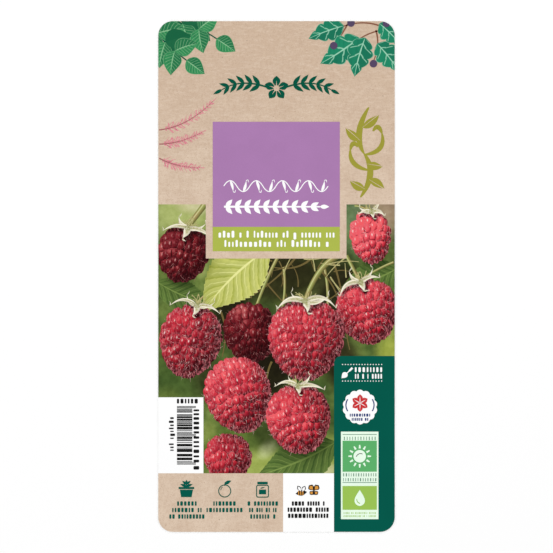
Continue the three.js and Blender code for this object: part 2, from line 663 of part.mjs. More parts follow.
function potSymbol(x, y) {
  return [
    [point(x - 2.9, y + 0.1), point(x - 2.2, y - 3.4), point(x + 2.2, y - 3.4), point(x + 2.9, y + 0.1)],
    rectangle({ left: x - 3.3, right: x + 3.3, foot: y, head: y + 0.9 }),
    stroke([[x, y + 0.5], [x, y + 2.6]]),
    leaf({ base: [x, y + 2.2], tip: [x, y + 3.9], width: 1, steps: 8 }),
    ...[-1, 1].flatMap((side) => [
      leaf({ base: [x, y + 1], tip: [x + side * 2.6, y + 2], width: 1.1, bend: side * 0.1, steps: 8 }),
      leaf({ base: [x, y + 1.9], tip: [x + side * 1.8, y + 3.4], width: 1, bend: side * 0.1, steps: 8 }),
    ]),
  ];
}

// A round fruit drawn as a ring, with a stalk and a leaf.
function fruitSymbol(x, y) {
  const ring = solidOf(plate(disc(x, y - 0.6, 2.75, 24), FILM, [disc(x, y - 0.6, 2.3, 24)]));
  return ring.add(joined([
    stroke([[x, y + 1.9], [x + 0.2, y + 3.1]]),
    leaf({ base: [x, y + 2.2], tip: [x + 2.7, y + 3.7], width: 1.3, steps: 6 }),
  ]));
}

// A jam jar: a lid and an open outline of the glass.
function jarSymbol(x, y) {
  const glass = cornered([
    [x - 2.7, y - 3.5, 0.8], [x + 2.7, y - 3.5, 0.8], [x + 2.7, y + 1.9, 0.8], [x - 2.7, y + 1.9, 0.8],
  ]);
  const inside = cornered([
    [x - 2.2, y - 3, 0.5], [x + 2.2, y - 3, 0.5], [x + 2.2, y + 1.4, 0.5], [x - 2.2, y + 1.4, 0.5],
  ]);
  return solidOf(plate(glass, FILM, [inside])).add(joined([
    rectangle({ left: x - 2.2, right: x + 2.2, foot: y + 1.8, head: y + 3.1 }),
  ]));
}

function butterflySymbol(x, y) {
  const wings = [[3.1, 0.85, 2.5], [2.3, -0.75, 1.9]].flatMap(([reach, angle, width]) =>
    [1, -1].map((side) => leaf({
      base: [x, y],
      tip: [x + side * reach * Math.cos(angle), y + reach * Math.sin(angle)],
      width, full: 1.5, steps: 8,
    })));
  return [...wings, stroke([[x, y - 1.7], [x, y + 1.6]], 0.6)];
}

function beeSymbol(x, y) {
  return [
    leaf({ base: [x - 2.4, y - 0.5], tip: [x + 2.4, y + 0.3], width: 2.4, full: 1, steps: 12 }),
    leaf({ base: [x, y + 0.2], tip: [x - 1.6, y + 2.9], width: 1.6, full: 1.3, steps: 8 }),
    leaf({ base: [x + 0.3, y + 0.3], tip: [x + 1.6, y + 2.8], width: 1.5, full: 1.3, steps: 8 }),
  ];
}

place("panels", "symbol_pot", geometryOf(joined(potSymbol(...SYMBOLS.pot))), INK.darkGreen);
place("panels", "symbol_fruit", geometryOf(fruitSymbol(...SYMBOLS.fruit)), INK.darkGreen);
place("panels", "symbol_jar", geometryOf(jarSymbol(...SYMBOLS.jar)), INK.darkGreen);
place("panels", "symbol_butterfly", geometryOf(joined(butterflySymbol(...SYMBOLS.butterfly))), INK.black);
place("panels", "symbol_bee", geometryOf(joined(beeSymbol(...SYMBOLS.bee))), INK.black);

// Bars of uneven width between longer guard bars, joined by a spine so that they are one piece.
function codeBars({ left, right, foot, head, spine, guard, module }) {
  const outlines = [rectangle({ left, right: left + spine, foot, head })];
  for (const start of [foot, (foot + head - module) / 2, head - module]) {
    outlines.push(rectangle({ left, right, foot: start, head: start + module }));
  }
  const modules = (most, k, seed) => module * (1 + Math.floor(most * scatter(k, seed)));
  const last = head - 3 * module;
  let y = foot + 2 * module;
  for (let k = 0; y < last; k++) {
    const bar = modules(3, k, 21);
    outlines.push(rectangle({ left, right: right - guard, foot: y, head: Math.min(y + bar, last) }));
    y += bar + modules(2, k, 36);
  }
  return outlines;
}
place("panels", "code_bars", geometryOf(joined(codeBars(CODE))), INK.black);

export default label;
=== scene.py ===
import math
from collections import namedtuple

import bmesh
import bpy
import numpy as np
from mathutils import Matrix, Vector
from mathutils.geometry import delaunay_2d_cdt


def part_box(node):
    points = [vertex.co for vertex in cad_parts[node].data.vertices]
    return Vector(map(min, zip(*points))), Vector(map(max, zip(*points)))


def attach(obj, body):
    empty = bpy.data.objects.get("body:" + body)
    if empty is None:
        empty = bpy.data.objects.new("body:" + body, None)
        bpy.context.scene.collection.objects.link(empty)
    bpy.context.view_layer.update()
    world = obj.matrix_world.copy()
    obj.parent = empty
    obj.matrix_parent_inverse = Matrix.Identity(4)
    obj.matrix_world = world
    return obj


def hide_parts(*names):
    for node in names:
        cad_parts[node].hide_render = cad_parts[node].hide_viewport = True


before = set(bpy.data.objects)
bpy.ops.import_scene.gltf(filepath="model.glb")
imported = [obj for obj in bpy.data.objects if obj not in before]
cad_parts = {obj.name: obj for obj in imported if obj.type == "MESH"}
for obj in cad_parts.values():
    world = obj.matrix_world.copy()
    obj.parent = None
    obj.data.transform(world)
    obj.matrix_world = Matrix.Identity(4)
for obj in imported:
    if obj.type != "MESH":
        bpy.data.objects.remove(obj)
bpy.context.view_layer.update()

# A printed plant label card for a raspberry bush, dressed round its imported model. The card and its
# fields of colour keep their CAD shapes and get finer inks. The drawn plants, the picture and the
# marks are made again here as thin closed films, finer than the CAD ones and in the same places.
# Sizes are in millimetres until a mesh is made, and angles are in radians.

MM = 0.001

Box = namedtuple("Box", "left foot right head low high")


def box_of(node):
    """The sides of a CAD node, in millimetres."""
    low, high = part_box(node)
    return Box(low.x / MM, low.y / MM, high.x / MM, high.y / MM, low.z / MM, high.z / MM)


CARD = box_of("card_body")
HEADER = box_of("kraft_header_field")
PICTURE = box_of("picture_field")
CODE_BOX = box_of("code_box_field")
STRIP = box_of("side_strip_field")
NAME_PANEL = box_of("name_panel")
BADGE = box_of("badge_frame")
BADGE_UPPER = box_of("badge_upper_field")
BADGE_LOWER = box_of("badge_lower_field")
SEAL = box_of("seal_badge")
CODE = box_of("code_bars")

CARD_CORNER = 6.2
STRIP_CORNER = 3
TONGUE_LEFT, TONGUE_RIGHT = -29.9, 29.6  # of the header, which reaches down into the picture there
CORNER_STEPS = 10

FIELD_TOP = PICTURE.high  # the films of the panels and of the picture lie on this
PANEL_TOP = NAME_PANEL.high
MARK_TOP = BADGE_UPPER.high
SYMBOL_TOP = box_of("badge_sun").high
THIN, THICK = 0.04, 0.05  # the usual heights of stems and of symbols above the film below them
LIFT = 0.0012  # how much higher each overlapping leaf of one piece lies

# --------------------------------------------------
# Colours and inks
# --------------------------------------------------


def colour(red, green, blue):
    """The linear colour of an sRGB one of 0 to 255."""
    def linear(value):
        value /= 255
        return value / 12.92 if value <= 0.04045 else ((value + 0.055) / 1.055) ** 2.4
    return (linear(red), linear(green), linear(blue), 1.0)


SIDE_VEINS = 8.0  # pairs of them on a leaf of the picture
KRAFT = colour(207, 182, 158)
KRAFT_PALE = colour(221, 199, 177)
KRAFT_FADE = (30, 100)  # the header's paper darkens a little between these heights
Mottle = namedtuple("Mottle", "size low high share shade detail stretch rough")
KRAFT_MOTTLES = [
    Mottle(9, 0.3, 0.72, 0.7, colour(205, 180, 157), 3.0, (1, 1, 1), 0.5),  # wide clouds
    Mottle(0.9, 0.4, 0.75, 0.34, colour(188, 160, 136), 3.0, (1, 0.4, 1), 0.65),  # dark lines up the paper
    Mottle(0.8, 0.42, 0.72, 0.4, colour(230, 210, 190), 3.0, (0.3, 1, 1), 0.65),  # pale fibres across it
    Mottle(0.4, 0.5, 0.74, 0.55, colour(184, 156, 132), 2.0, (1, 1, 1), 0.5),  # fine grain
]
Fleck = namedtuple("Fleck", "cell share shade")
KRAFT_FLECKS = [  # cell is the size of the pattern, and share how much of a cell its fleck takes
    Fleck(1.7, 0.07, colour(166, 132, 108)),
    Fleck(2.9, 0.07, colour(150, 112, 92)),
    Fleck(4.9, 0.055, colour(116, 92, 78)),
]


class Nodes:
    """A node tree that is built up step by step."""

    def __init__(self, tree):
        self.tree = tree

    def node(self, kind, feeds, **settings):
        """Adds a node. Each feed is a socket that is linked to an input, or the input's value."""
        made = self.tree.nodes.new(kind)
        for name, value in settings.items():
            setattr(made, name, value)
        for key, value in feeds.items():
            if isinstance(value, bpy.types.NodeSocket):
                self.link(value, made.inputs[key])
            else:
                made.inputs[key].default_value = value
        return made

    def link(self, source, target):
        """Joins two sockets."""
        self.tree.links.new(source, target)

    def maths(self, operation, *values):
        """The result of a sum, from sockets and numbers."""
        return self.node("ShaderNodeMath", dict(enumerate(values)), operation=operation).outputs[0]


INKS = {}  # the finished inks, by name


class Ink(Nodes):
    """The node material of one print ink. Its colour is built up layer by layer."""

    def __init__(self, name, roughness=0.45, specular=0.14):
        self.name = name
        self.material = bpy.data.materials.new(name)
        self.material.use_nodes = True
        super().__init__(self.material.node_tree)
        self.shader = self.tree.nodes["Principled BSDF"]
        self.roughness = roughness
        self.shader.inputs["Specular IOR Level"].default_value = specular
        self.place = self.tree.nodes.new("ShaderNodeTexCoord").outputs["Object"]

    def mark(self, name):
        """A number that the mesh carries from point to point."""
        return self.node("ShaderNodeAttribute", {}, attribute_name=name).outputs["Fac"]

    def noise(self, size, detail=2.0, stretch=(1, 1, 1), rough=0.5):
        """Soft noise with grains of about size millimetres."""
        spread = self.node("ShaderNodeMapping", {"Vector": self.place, "Scale": stretch})
        grain = {"Vector": spread.outputs[0], "Scale": 1 / (size * MM), "Detail": detail, "Roughness": rough}
        return self.node("ShaderNodeTexNoise", grain).outputs["Fac"]

    def step(self, value, low, high, start=0.0, end=1.0):
        """Goes smoothly from start to end while the value goes from low to high."""
        feeds = {"Value": value, "From Min": low, "From Max": high, "To Min": start, "To Max": end}
        return self.node("ShaderNodeMapRange", feeds, interpolation_type="SMOOTHSTEP").outputs["Result"]

    def mix(self, share, first, second, way="MIX"):
        """The second colour laid over the first, by its share."""
        feeds = {0: share, 6: first, 7: second}
        made = self.node("ShaderNodeMix", feeds, data_type="RGBA", blend_type=way, clamp_factor=True)
        return made.outputs[2]

    def over(self, ground, shade, value, low, high, share=1.0):
        """Lays a colour over the ground: none where the value is low, and the share where it is high."""
        return self.mix(self.step(value, low, high, 0, share), ground, shade)

    def mottled(self, ground, mottle):
        """Lays a colour over the ground in soft patches."""
        grain = self.noise(mottle.size, mottle.detail, mottle.stretch, mottle.rough)
        return self.over(ground, mottle.shade, grain, mottle.low, mottle.high, mottle.share)

    def ramp(self, value, stops):
        """A colour scale, from (place, colour) pairs."""
        made = self.node("ShaderNodeValToRGB", {0: value})
        scale = made.color_ramp.elements
        while len(scale) < len(stops):
            scale.new(0.5)
        for element, (at, shade) in zip(scale, stops):
            element.position = at
            element.color = shade
        return made.outputs[0]

    def pool(self, ground, patch):
        """Lays a soft-edged oval patch of another colour over the ground colour."""
        shift = self.node("ShaderNodeMapping", {
            "Vector": self.place,
            "Location": (patch.x * MM, patch.y * MM, 0),
            "Rotation": (0, 0, patch.turn),
            "Scale": (patch.across * MM, patch.up * MM, 1),
        }, vector_type="TEXTURE").outputs[0]
        flat = self.node("ShaderNodeVectorMath", {0: shift, 1: (1, 1, 0)}, operation="MULTIPLY").outputs[0]
        far = self.node("ShaderNodeVectorMath", {0: flat}, operation="LENGTH").outputs["Value"]
        return self.over(ground, colour(*patch.shade), far, 1 + patch.soft, 1 - patch.soft, patch.share)

    def side_veins(self, course, count):
        """How far a course has run from one side vein to the next, and how close to a vein it is."""
        phase = self.maths("FRACT", self.maths("MULTIPLY", course, count))
        return phase, self.maths("ABSOLUTE", self.maths("SUBTRACT", phase, 0.5))

    def finished(self, shade, speckle=0.03, bump=0.02):
        """Adds a trace of printed grain and the card's faint unevenness, and puts the ink with the others."""
        grain = self.noise(0.35, 1.0)
        bright = self.step(grain, 0.2, 0.8, 1 - speckle, 1 + speckle * 0.5)
        grey = self.node("ShaderNodeCombineColor", {0: bright, 1: bright, 2: bright}).outputs[0]
        pressed = self.noise(2.2, 3.0)
        sheen = self.step(pressed, 0.3, 0.7, self.roughness - 0.03, self.roughness + 0.03)
        dented = self.node("ShaderNodeBump", {"Strength": bump, "Distance": 0.1 * MM, "Height": pressed})
        self.link(self.mix(1.0, shade, grey, "MULTIPLY"), self.shader.inputs["Base Color"])
        self.link(sheen, self.shader.inputs["Roughness"])
        self.link(dented.outputs[0], self.shader.inputs["Normal"])
        INKS[self.name] = self.material


def plain_ink(name, shade, speckle=0.03, roughness=0.45, specular=0.14, cloud=0.04, bump=0.02):
    """One even ink, with the slight clouding of a large printed area."""
    ink = Ink(name, roughness, specular)
    darker = tuple((1 - cloud) * part for part in shade[:3]) + (1.0,)
    ink.finished(ink.over(shade, darker, ink.noise(14), 0.3, 0.7), speckle, bump)


def kraft_ink():
    """Printed wrapping paper: mottled tan with faint laid fibres and a few dark flecks."""
    ink = Ink("kraft_print", roughness=0.62, specular=0.1)
    height = ink.node("ShaderNodeSeparateXYZ", {0: ink.place}).outputs[1]
    low, high = KRAFT_FADE
    ground = ink.over(KRAFT_PALE, KRAFT, height, low * MM, high * MM)
    for mottle in KRAFT_MOTTLES:
        ground = ink.mottled(ground, mottle)
    for fleck in KRAFT_FLECKS:
        cells = ink.node("ShaderNodeTexVoronoi", {"Vector": ink.place, "Scale": 1 / (fleck.cell * MM)})
        far = cells.outputs["Distance"]
        ground = ink.over(ground, fleck.shade, far, fleck.share, fleck.share * 0.4, 0.7)
    ink.finished(ground, 0.035, 0.04)


Patch = namedtuple("Patch", "x y across up turn soft share shade")
GARDEN = [  # blurred patches behind the fruit, each laid over those before it
    Patch(-44, -42, 12, 22, 0.1, 0.6, 0.75, (72, 96, 44)),
    Patch(-47, -58, 7, 9, -0.2, 0.6, 0.7, (128, 146, 70)),
    Patch(-42, 27, 13, 10, 0.2, 0.7, 0.85, (186, 196, 122)),
    Patch(-35, 31, 7, 4, -0.1, 0.6, 0.8, (214, 208, 166)),
    Patch(-47, 4, 6, 9, 0.2, 0.6, 0.7, (104, 124, 60)),
    Patch(45, 27, 9, 9, 0.1, 0.7, 0.85, (176, 150, 128)),
    Patch(34, 22, 8, 11, 0.1, 0.7, 0.8, (112, 136, 98)),
    Patch(46, 4, 8, 9, -0.3, 0.7, 0.8, (88, 104, 52)),
    Patch(49, -33, 6, 9, 0.1, 0.6, 0.95, (166, 176, 78)),
    Patch(-22, -72, 16, 10, 0.2, 0.5, 0.9, (94, 116, 50)),
    Patch(-8, -80, 9, 6, 0.5, 0.6, 0.9, (168, 182, 94)),
    Patch(20, -78, 14, 9, -0.2, 0.5, 0.9, (156, 172, 84)),
    Patch(-4, -73, 4, 2.4, 0.8, 0.7, 0.85, (206, 214, 156)),
    Patch(21, -82, 5, 2.4, 0.1, 0.7, 0.8, (206, 206, 160)),
    Patch(-29, -66, 3, 5, -0.3, 0.7, 0.6, (150, 164, 84)),
    Patch(2, 0, 22, 12, 0.1, 0.5, 0.92, (40, 34, 18)),
    Patch(-5, -38, 13, 15, 0.2, 0.4, 0.96, (26, 16, 10)),
    Patch(26, -8, 10, 16, -0.2, 0.5, 0.9, (36, 28, 16)),
    Patch(27, -36, 8, 12, 0.1, 0.5, 0.9, (36, 22, 14)),
    Patch(-20, -14, 8, 13, -0.4, 0.5, 0.92, (30, 21, 12)),
    Patch(-28, -44, 7, 9, 0.5, 0.6, 0.85, (34, 36, 17)),
    Patch(-4, -67, 6, 7, 0.6, 0.6, 0.75, (46, 56, 24)),
]


def picture_ground_ink():
    """The out-of-focus garden behind the fruit: greens with patches of light, and a dark hollow."""
    ink = Ink("picture_ground", specular=0.04)
    ground = ink.ramp(ink.noise(13, 1.5), [
        (0.28, colour(58, 82, 40)), (0.45, colour(84, 106, 52)),
        (0.58, colour(112, 132, 66)), (0.75, colour(150, 164, 92)),
    ])
    for patch in GARDEN:
        ground = ink.pool(ground, patch)
    fine = ink.step(ink.noise(2.6, 4.0, rough=0.6), 0.3, 0.7, 0, 0.35)
    ink.finished(ink.mix(fine, ground, colour(44, 48, 22), "SOFT_LIGHT"))


DOWN = {"all_over": 0.05, "round_a_grain": 0.5, "at_the_rim": 0.3}  # how thick the pale down is


def berry_ink(name, scale, downy, glint):
    """Raspberry skin: a scale of reds by the light on each grain, with glints and pale down."""
    ink = Ink(name, roughness=0.5, specular=0.03)
    mottle = ink.step(ink.noise(0.7, 3.0), 0.25, 0.75, -0.07, 0.07)
    cloud = ink.step(ink.noise(7), 0.3, 0.7, -0.07, 0.05)
    light = ink.maths("ADD", ink.mark("light"), ink.maths("ADD", mottle, cloud))
    warm = ink.mix(ink.mark("tone"), colour(176, 30, 96), colour(236, 76, 50))
    skin = ink.mix(0.3, ink.ramp(light, scale), warm, "SOFT_LIGHT")
    wisps = ink.step(ink.noise(0.5, 4.0, stretch=(1, 0.3, 1), rough=0.7), 0.42, 0.64)
    thick = ink.maths("MULTIPLY_ADD", ink.mark("fuzz"), DOWN["round_a_grain"], DOWN["all_over"])
    thick = ink.maths("MULTIPLY_ADD", ink.mark("rim"), DOWN["at_the_rim"], thick)
    skin = ink.mix(ink.maths("MULTIPLY", wisps, thick), skin, downy)
    ink.finished(ink.mix(ink.mark("glint"), skin, glint))


BRIGHT_SKIN = [
    (0.0, colour(26, 2, 6)), (0.18, colour(70, 7, 17)), (0.38, colour(128, 22, 38)),
    (0.56, colour(172, 40, 57)), (0.78, colour(206, 62, 78)), (1.0, colour(238, 104, 112)),
]
DARK_SKIN = [
    (0.0, colour(20, 2, 5)), (0.25, colour(46, 5, 10)), (0.45, colour(70, 11, 19)),
    (0.65, colour(100, 25, 34)), (0.82, colour(130, 46, 54)), (1.0, colour(184, 102, 104)),
]


def foliage_ink(name, lit, deep, vein):
    """A leaf of the picture: raised fields between side veins, and a pale midrib and margin."""
    ink = Ink(name, specular=0.04)
    aside = ink.maths("ABSOLUTE", ink.mark("across"))
    wander = ink.step(ink.noise(8.0, 1.0), 0.25, 0.75, -0.012, 0.012)
    slant = ink.maths("MULTIPLY", ink.maths("POWER", aside, 0.8), 0.24)
    course = ink.maths("ADD", ink.maths("SUBTRACT", ink.mark("along"), slant), wander)
    phase, near = ink.side_veins(course, SIDE_VEINS)
    ground = ink.over(lit, deep, ink.noise(9), 0.3, 0.7, 0.6)
    ground = ink.over(ground, deep, ink.noise(1.6), 0.35, 0.7, 0.35)
    ground = ink.over(ground, deep, phase, 0.0, 0.44, 0.5)
    ground = ink.over(ground, vein, phase, 1.0, 0.6, 0.3)
    fading = ink.step(aside, 1.0, 0.25, 0.25, 0.85)
    ground = ink.mix(ink.maths("MULTIPLY", ink.step(near, 0.07, 0.01), fading), ground, vein)
    ground = ink.over(ground, vein, aside, 0.055, 0.025, 0.95)
    ground = ink.over(ground, vein, aside, 0.93, 1.0, 0.3)
    shadow = ink.mix(1.0, ground, deep, "MULTIPLY")
    ink.finished(ink.mix(ink.mark("shade"), ground, shadow))


def drawn_leaf_ink(name, bright, dark, line, veins):
    """A drawn leaf in two flat greens, one for each half, with fine pale veins and margin."""
    ink = Ink(name)
    across, tone = ink.mark("across"), ink.mark("tone")
    aside = ink.maths("ABSOLUTE", across)
    ground = ink.over(bright, dark, across, -0.05, 0.05, 0.55)
    brush = ink.noise(1.1, 3.0, stretch=(1, 0.3, 1), rough=0.6)
    ground = ink.over(ground, dark, brush, 0.45, 0.7, 0.35)
    ground = ink.mix(tone, ground, dark)
    slant = ink.maths("MULTIPLY", ink.maths("SUBTRACT", 1.0, aside), 0.22)
    _, near = ink.side_veins(ink.maths("ADD", ink.mark("along"), slant), veins)
    thin = ink.maths("MULTIPLY", ink.step(near, 0.1, 0.03, 0, 0.75), ink.step(aside, 0.86, 0.78))
    drawn = ink.maths("MAXIMUM", thin, ink.step(aside, 0.07, 0.03, 0, 0.95))
    drawn = ink.maths("MAXIMUM", drawn, ink.step(aside, 0.92, 0.97, 0, 0.6))
    in_front = ink.step(tone, 0.8, 0.4)
    ink.finished(ink.mix(ink.maths("MULTIPLY", drawn, in_front), ground, line))


def sepal_ink():
    """A woolly sepal: cream margins and tip, an olive middle and foot, darker on one side."""
    ink = Ink("sepal_print", specular=0.04)
    run, across = ink.mark("along"), ink.mark("across")
    ground = ink.over(colour(168, 165, 104), colour(244, 236, 212), ink.maths("ABSOLUTE", across), 0.15, 0.7)
    ground = ink.over(ground, colour(251, 244, 224), run, 0.25, 0.8, 0.85)
    ground = ink.over(ground, colour(116, 124, 62), run, 0.22, 0.0, 0.75)
    ground = ink.over(ground, colour(124, 108, 64), across, 0.1, 0.95, 0.5)
    wool = ink.noise(0.45, 4.0, stretch=(0.6, 1, 1), rough=0.7)
    ink.finished(ink.over(ground, colour(250, 243, 224), wool, 0.42, 0.7, 0.5))


def cane_ink():
    """A round green cane: lit along its middle, with brownish joints and dark sides."""
    ink = Ink("cane_print", specular=0.04)
    across = ink.mark("across")
    ground = ink.over(colour(158, 166, 92), colour(174, 150, 98), ink.noise(4, 3.0), 0.35, 0.7)
    ground = ink.over(ground, colour(84, 82, 38), across, -0.2, 1.0, 0.85)
    ground = ink.over(ground, colour(100, 104, 52), across, -0.6, -1.0, 0.6)
    lit = ink.maths("ABSOLUTE", ink.maths("ADD", across, 0.35))
    ink.finished(ink.over(ground, colour(224, 224, 168), lit, 0.3, 0.0, 0.7))


PLAIN_INKS = {
    "studio_board": {"shade": colour(254, 254, 254), "speckle": 0.004, "roughness": 0.8, "specular": 0.05,
                     "cloud": 0, "bump": 0},
    "card_plastic": {"shade": colour(247, 247, 245), "roughness": 0.4, "specular": 0.35},
    "white_print": {"shade": colour(255, 255, 255), "speckle": 0.01, "cloud": 0.01},
    "dark_green_print": {"shade": colour(0, 88, 74), "specular": 0.04},
    "emblem_print": {"shade": colour(2, 84, 64), "specular": 0.04},
    "purple_print": {"shade": colour(171, 124, 176)},
    "lime_print": {"shade": colour(174, 186, 77)},
    "pale_green_print": {"shade": colour(236, 255, 236), "speckle": 0.015},
    "mid_green_print": {"shade": colour(92, 177, 106)},
    "fresh_green_print": {"shade": colour(156, 196, 84)},
    "black_print": {"shade": colour(24, 24, 24), "specular": 0.06},
    "olive_print": {"shade": colour(158, 153, 54), "speckle": 0.06},
    "twig_print": {"shade": colour(136, 88, 66), "speckle": 0.08},
    "plum_print": {"shade": colour(84, 68, 98), "speckle": 0.08},
    "pink_print": {"shade": colour(226, 138, 152), "speckle": 0.12},
    "rose_stem_print": {"shade": colour(168, 104, 104), "speckle": 0.12},
    "red_print": {"shade": colour(206, 48, 52)},
    "blue_print": {"shade": colour(44, 62, 120)},
    "amber_print": {"shade": colour(216, 150, 62)},
    "grey_print": {"shade": colour(112, 150, 128)},
    "down_print": {"shade": colour(236, 190, 186), "speckle": 0.05},
    "dim_down_print": {"shade": colour(178, 118, 114), "speckle": 0.05},
    "wool_print": {"shade": colour(246, 238, 216), "speckle": 0.05},
    "dim_twig_print": {"shade": colour(112, 96, 52), "speckle": 0.15},
    "straw_print": {"shade": colour(190, 182, 122), "speckle": 0.3},
}
for ink_name, recipe in PLAIN_INKS.items():
    plain_ink(ink_name, **recipe)
kraft_ink()
picture_ground_ink()
drawn_leaf_ink("leaf_green_print", colour(50, 140, 84), colour(4, 92, 58), colour(140, 194, 146), 8.0)
drawn_leaf_ink("teal_print", colour(22, 134, 98), colour(6, 102, 78), colour(158, 214, 184), 4.0)
berry_ink("berry_print", BRIGHT_SKIN, colour(218, 118, 126), colour(255, 226, 222))
berry_ink("dark_berry_print", DARK_SKIN, colour(122, 50, 56), colour(222, 164, 160))
foliage_ink("fresh_leaf_print", colour(206, 208, 100), colour(152, 162, 68), colour(234, 234, 156))
foliage_ink("deep_leaf_print", colour(98, 128, 58), colour(58, 84, 38), colour(138, 162, 84))
cane_ink()
sepal_ink()

# --------------------------------------------------
# Thin films of print
# --------------------------------------------------

MARKS = ("along", "across", "tone", "shade", "light", "rim", "glint", "fuzz")
CUT_TOLERANCE = 1e-5
JOIN_TOLERANCE = 1e-4
INSIDE = 1  # asks for only the triangles inside the outlines


class Film:
    """Flat islands of print, each at its own height, that are closed into one thin piece."""

    def __init__(self, foot=FIELD_TOP):
        self.foot = foot
        self.mesh = bmesh.new()
        self.layers = {name: self.mesh.verts.layers.float.new(name) for name in MARKS}

    def island(self, points, faces, head, **marks):
        """Adds one flat island. Its faces turn left seen from above, and marks are lists by point."""
        made = [self.mesh.verts.new((x, y, head)) for x, y in points]
        for name, values in marks.items():
            layer = self.layers[name]
            for vertex, value in zip(made, values):
                vertex[layer] = value
        for face in faces:
            self.mesh.faces.new([made[i] for i in face])

    def trim(self, region):
        """Cuts the islands along the region's sides and drops what lies outside it."""
        places = np.array([vertex.co[:2] for vertex in self.mesh.verts])
        low, high = places.min(0), places.max(0)
        for start, end in zip(region, region[1:] + region[:1]):
            side_low, side_high = np.minimum(start, end), np.maximum(start, end)
            if (side_low > high).any() or (side_high < low).any():
                continue
            across = (end[1] - start[1], start[0] - end[0], 0)
            everything = self.mesh.verts[:] + self.mesh.edges[:] + self.mesh.faces[:]
            bmesh.ops.bisect_plane(
                self.mesh, geom=everything, dist=CUT_TOLERANCE, plane_co=(*start, 0), plane_no=across)
        outside = [f for f in self.mesh.faces if not inside(region, *f.calc_center_median()[:2])]
        bmesh.ops.delete(self.mesh, geom=outside, context="FACES")
        return self

    def close(self):
        """Gives the islands a back and sides."""
        tops = list(self.mesh.verts)
        fronts = list(self.mesh.faces)
        rims = [(edge.verts[:], edge.link_loops[0].vert) for edge in self.mesh.edges if edge.is_boundary]
        back = {}
        for vertex in tops:
            twin = self.mesh.verts.new((vertex.co.x, vertex.co.y, self.foot))
            for layer in self.layers.values():
                twin[layer] = vertex[layer]
            back[vertex] = twin
        for face in fronts:
            self.mesh.faces.new([back[vertex] for vertex in reversed(face.verts[:])])
        for (one, other), first in rims:
            second = other if first is one else one
            self.mesh.faces.new([first, back[first], back[second], second])
        return self

    def to_mesh(self, name):
        """Makes the film a mesh, in metres, after which the film is empty."""
        mesh = bpy.data.meshes.new(name)
        bmesh.ops.scale(self.mesh, vec=(MM, MM, MM), verts=self.mesh.verts)
        self.mesh.to_mesh(mesh)
        self.mesh.free()
        return mesh


def piece(name, mesh, ink, *nodes):
    """Makes a mesh a piece of the card: its ink, its body and the nodes it stands for."""
    made = bpy.data.objects.new(name, mesh)
    bpy.context.scene.collection.objects.link(made)
    mesh.materials.clear()
    mesh.materials.append(INKS[ink])
    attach(made, "root")
    if nodes:
        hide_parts(*nodes)
    return made


def printed(name, film, ink, *nodes):
    """Closes a film and makes it a piece."""
    return piece(name, film.close().to_mesh(name), ink, *nodes)


def inside(region, x, y):
    """True if the point lies in the region."""
    within = False
    for (x0, y0), (x1, y1) in zip(region, region[1:] + region[:1]):
        if (y0 > y) != (y1 > y) and x < x0 + (x1 - x0) * (y - y0) / (y1 - y0):
            within = not within
    return within


def cornered(corners):
    """A polygon of sides along X and Y, from (x, y, radius) corners."""
    outline = []
    for i, (x, y, radius) in enumerate(corners):
        if not radius:
            outline.append((x, y))
            continue
        here = Vector((x, y))
        before = (Vector(corners[i - 1][:2]) - here).normalized()
        after = (Vector(corners[(i + 1) % len(corners)][:2]) - here).normalized()
        for k in range(CORNER_STEPS + 1):
            angle = math.pi / 2 * k / CORNER_STEPS
            at = here + before * radius * (1 - math.sin(angle)) + after * radius * (1 - math.cos(angle))
            outline.append((at.x, at.y))
    return outline


CARD_OUTLINE = cornered([
    (CARD.left, CARD.foot, CARD_CORNER), (CARD.right, CARD.foot, CARD_CORNER),
    (CARD.right, CARD.head, CARD_CORNER), (CARD.left, CARD.head, CARD_CORNER),
])
PICTURE_OUTLINE = cornered([
    (CODE_BOX.right, PICTURE.foot, 0), (STRIP.left, PICTURE.foot, 0),
    (STRIP.left, STRIP.head, STRIP_CORNER), (CARD.right, STRIP.head, 0),
    (CARD.right, PICTURE.head, 0), (TONGUE_RIGHT, PICTURE.head, 0),
    (TONGUE_RIGHT, HEADER.foot, 0), (TONGUE_LEFT, HEADER.foot, 0),
    (TONGUE_LEFT, PICTURE.head, 0), (CARD.left, PICTURE.head, 0),
    (CARD.left, CODE_BOX.head, 0), (CODE_BOX.right, CODE_BOX.head, 0),
])

# --------------------------------------------------
# Shapes on a film
# --------------------------------------------------


def smooth(value, low, high):
    """Goes smoothly from 0 to 1 while the value goes from low to high."""
    t = np.clip((value - low) / (high - low), 0, 1)
    return t * t * (3 - 2 * t)


def along(path, t):
    """Point and direction on the curve of a start, a control and an end point."""
    start, control, end = (np.array(p, float) for p in path)
    at = (1 - t) ** 2 * start + 2 * t * (1 - t) * control + t * t * end
    direction = (1 - t) * (control - start) + t * (end - control)
    return at, direction / np.hypot(*direction)


def polar(x, y, radius, angle):
    """The place at a distance and an angle from another one."""
    return x + radius * math.cos(angle), y + radius * math.sin(angle)


def polygon(film, outline, head, **marks):
    """One flat face, whose marks are the same at all its points."""
    count = len(outline)
    film.island(outline, [range(count)], head, **{name: [value] * count for name, value in marks.items()})


def rectangle(film, left, foot, right, head, top):
    """One flat face with its sides along X and Y."""
    polygon(film, [(left, foot), (right, foot), (right, head), (left, head)], top)


def round_outline(x, y, radius, sides):
    """The points of a circle."""
    return [polar(x, y, radius, 2 * math.pi * k / sides) for k in range(sides)]


def disc(film, x, y, radius, head, sides=24, **marks):
    """One flat round face."""
    polygon(film, round_outline(x, y, radius, sides), head, **marks)


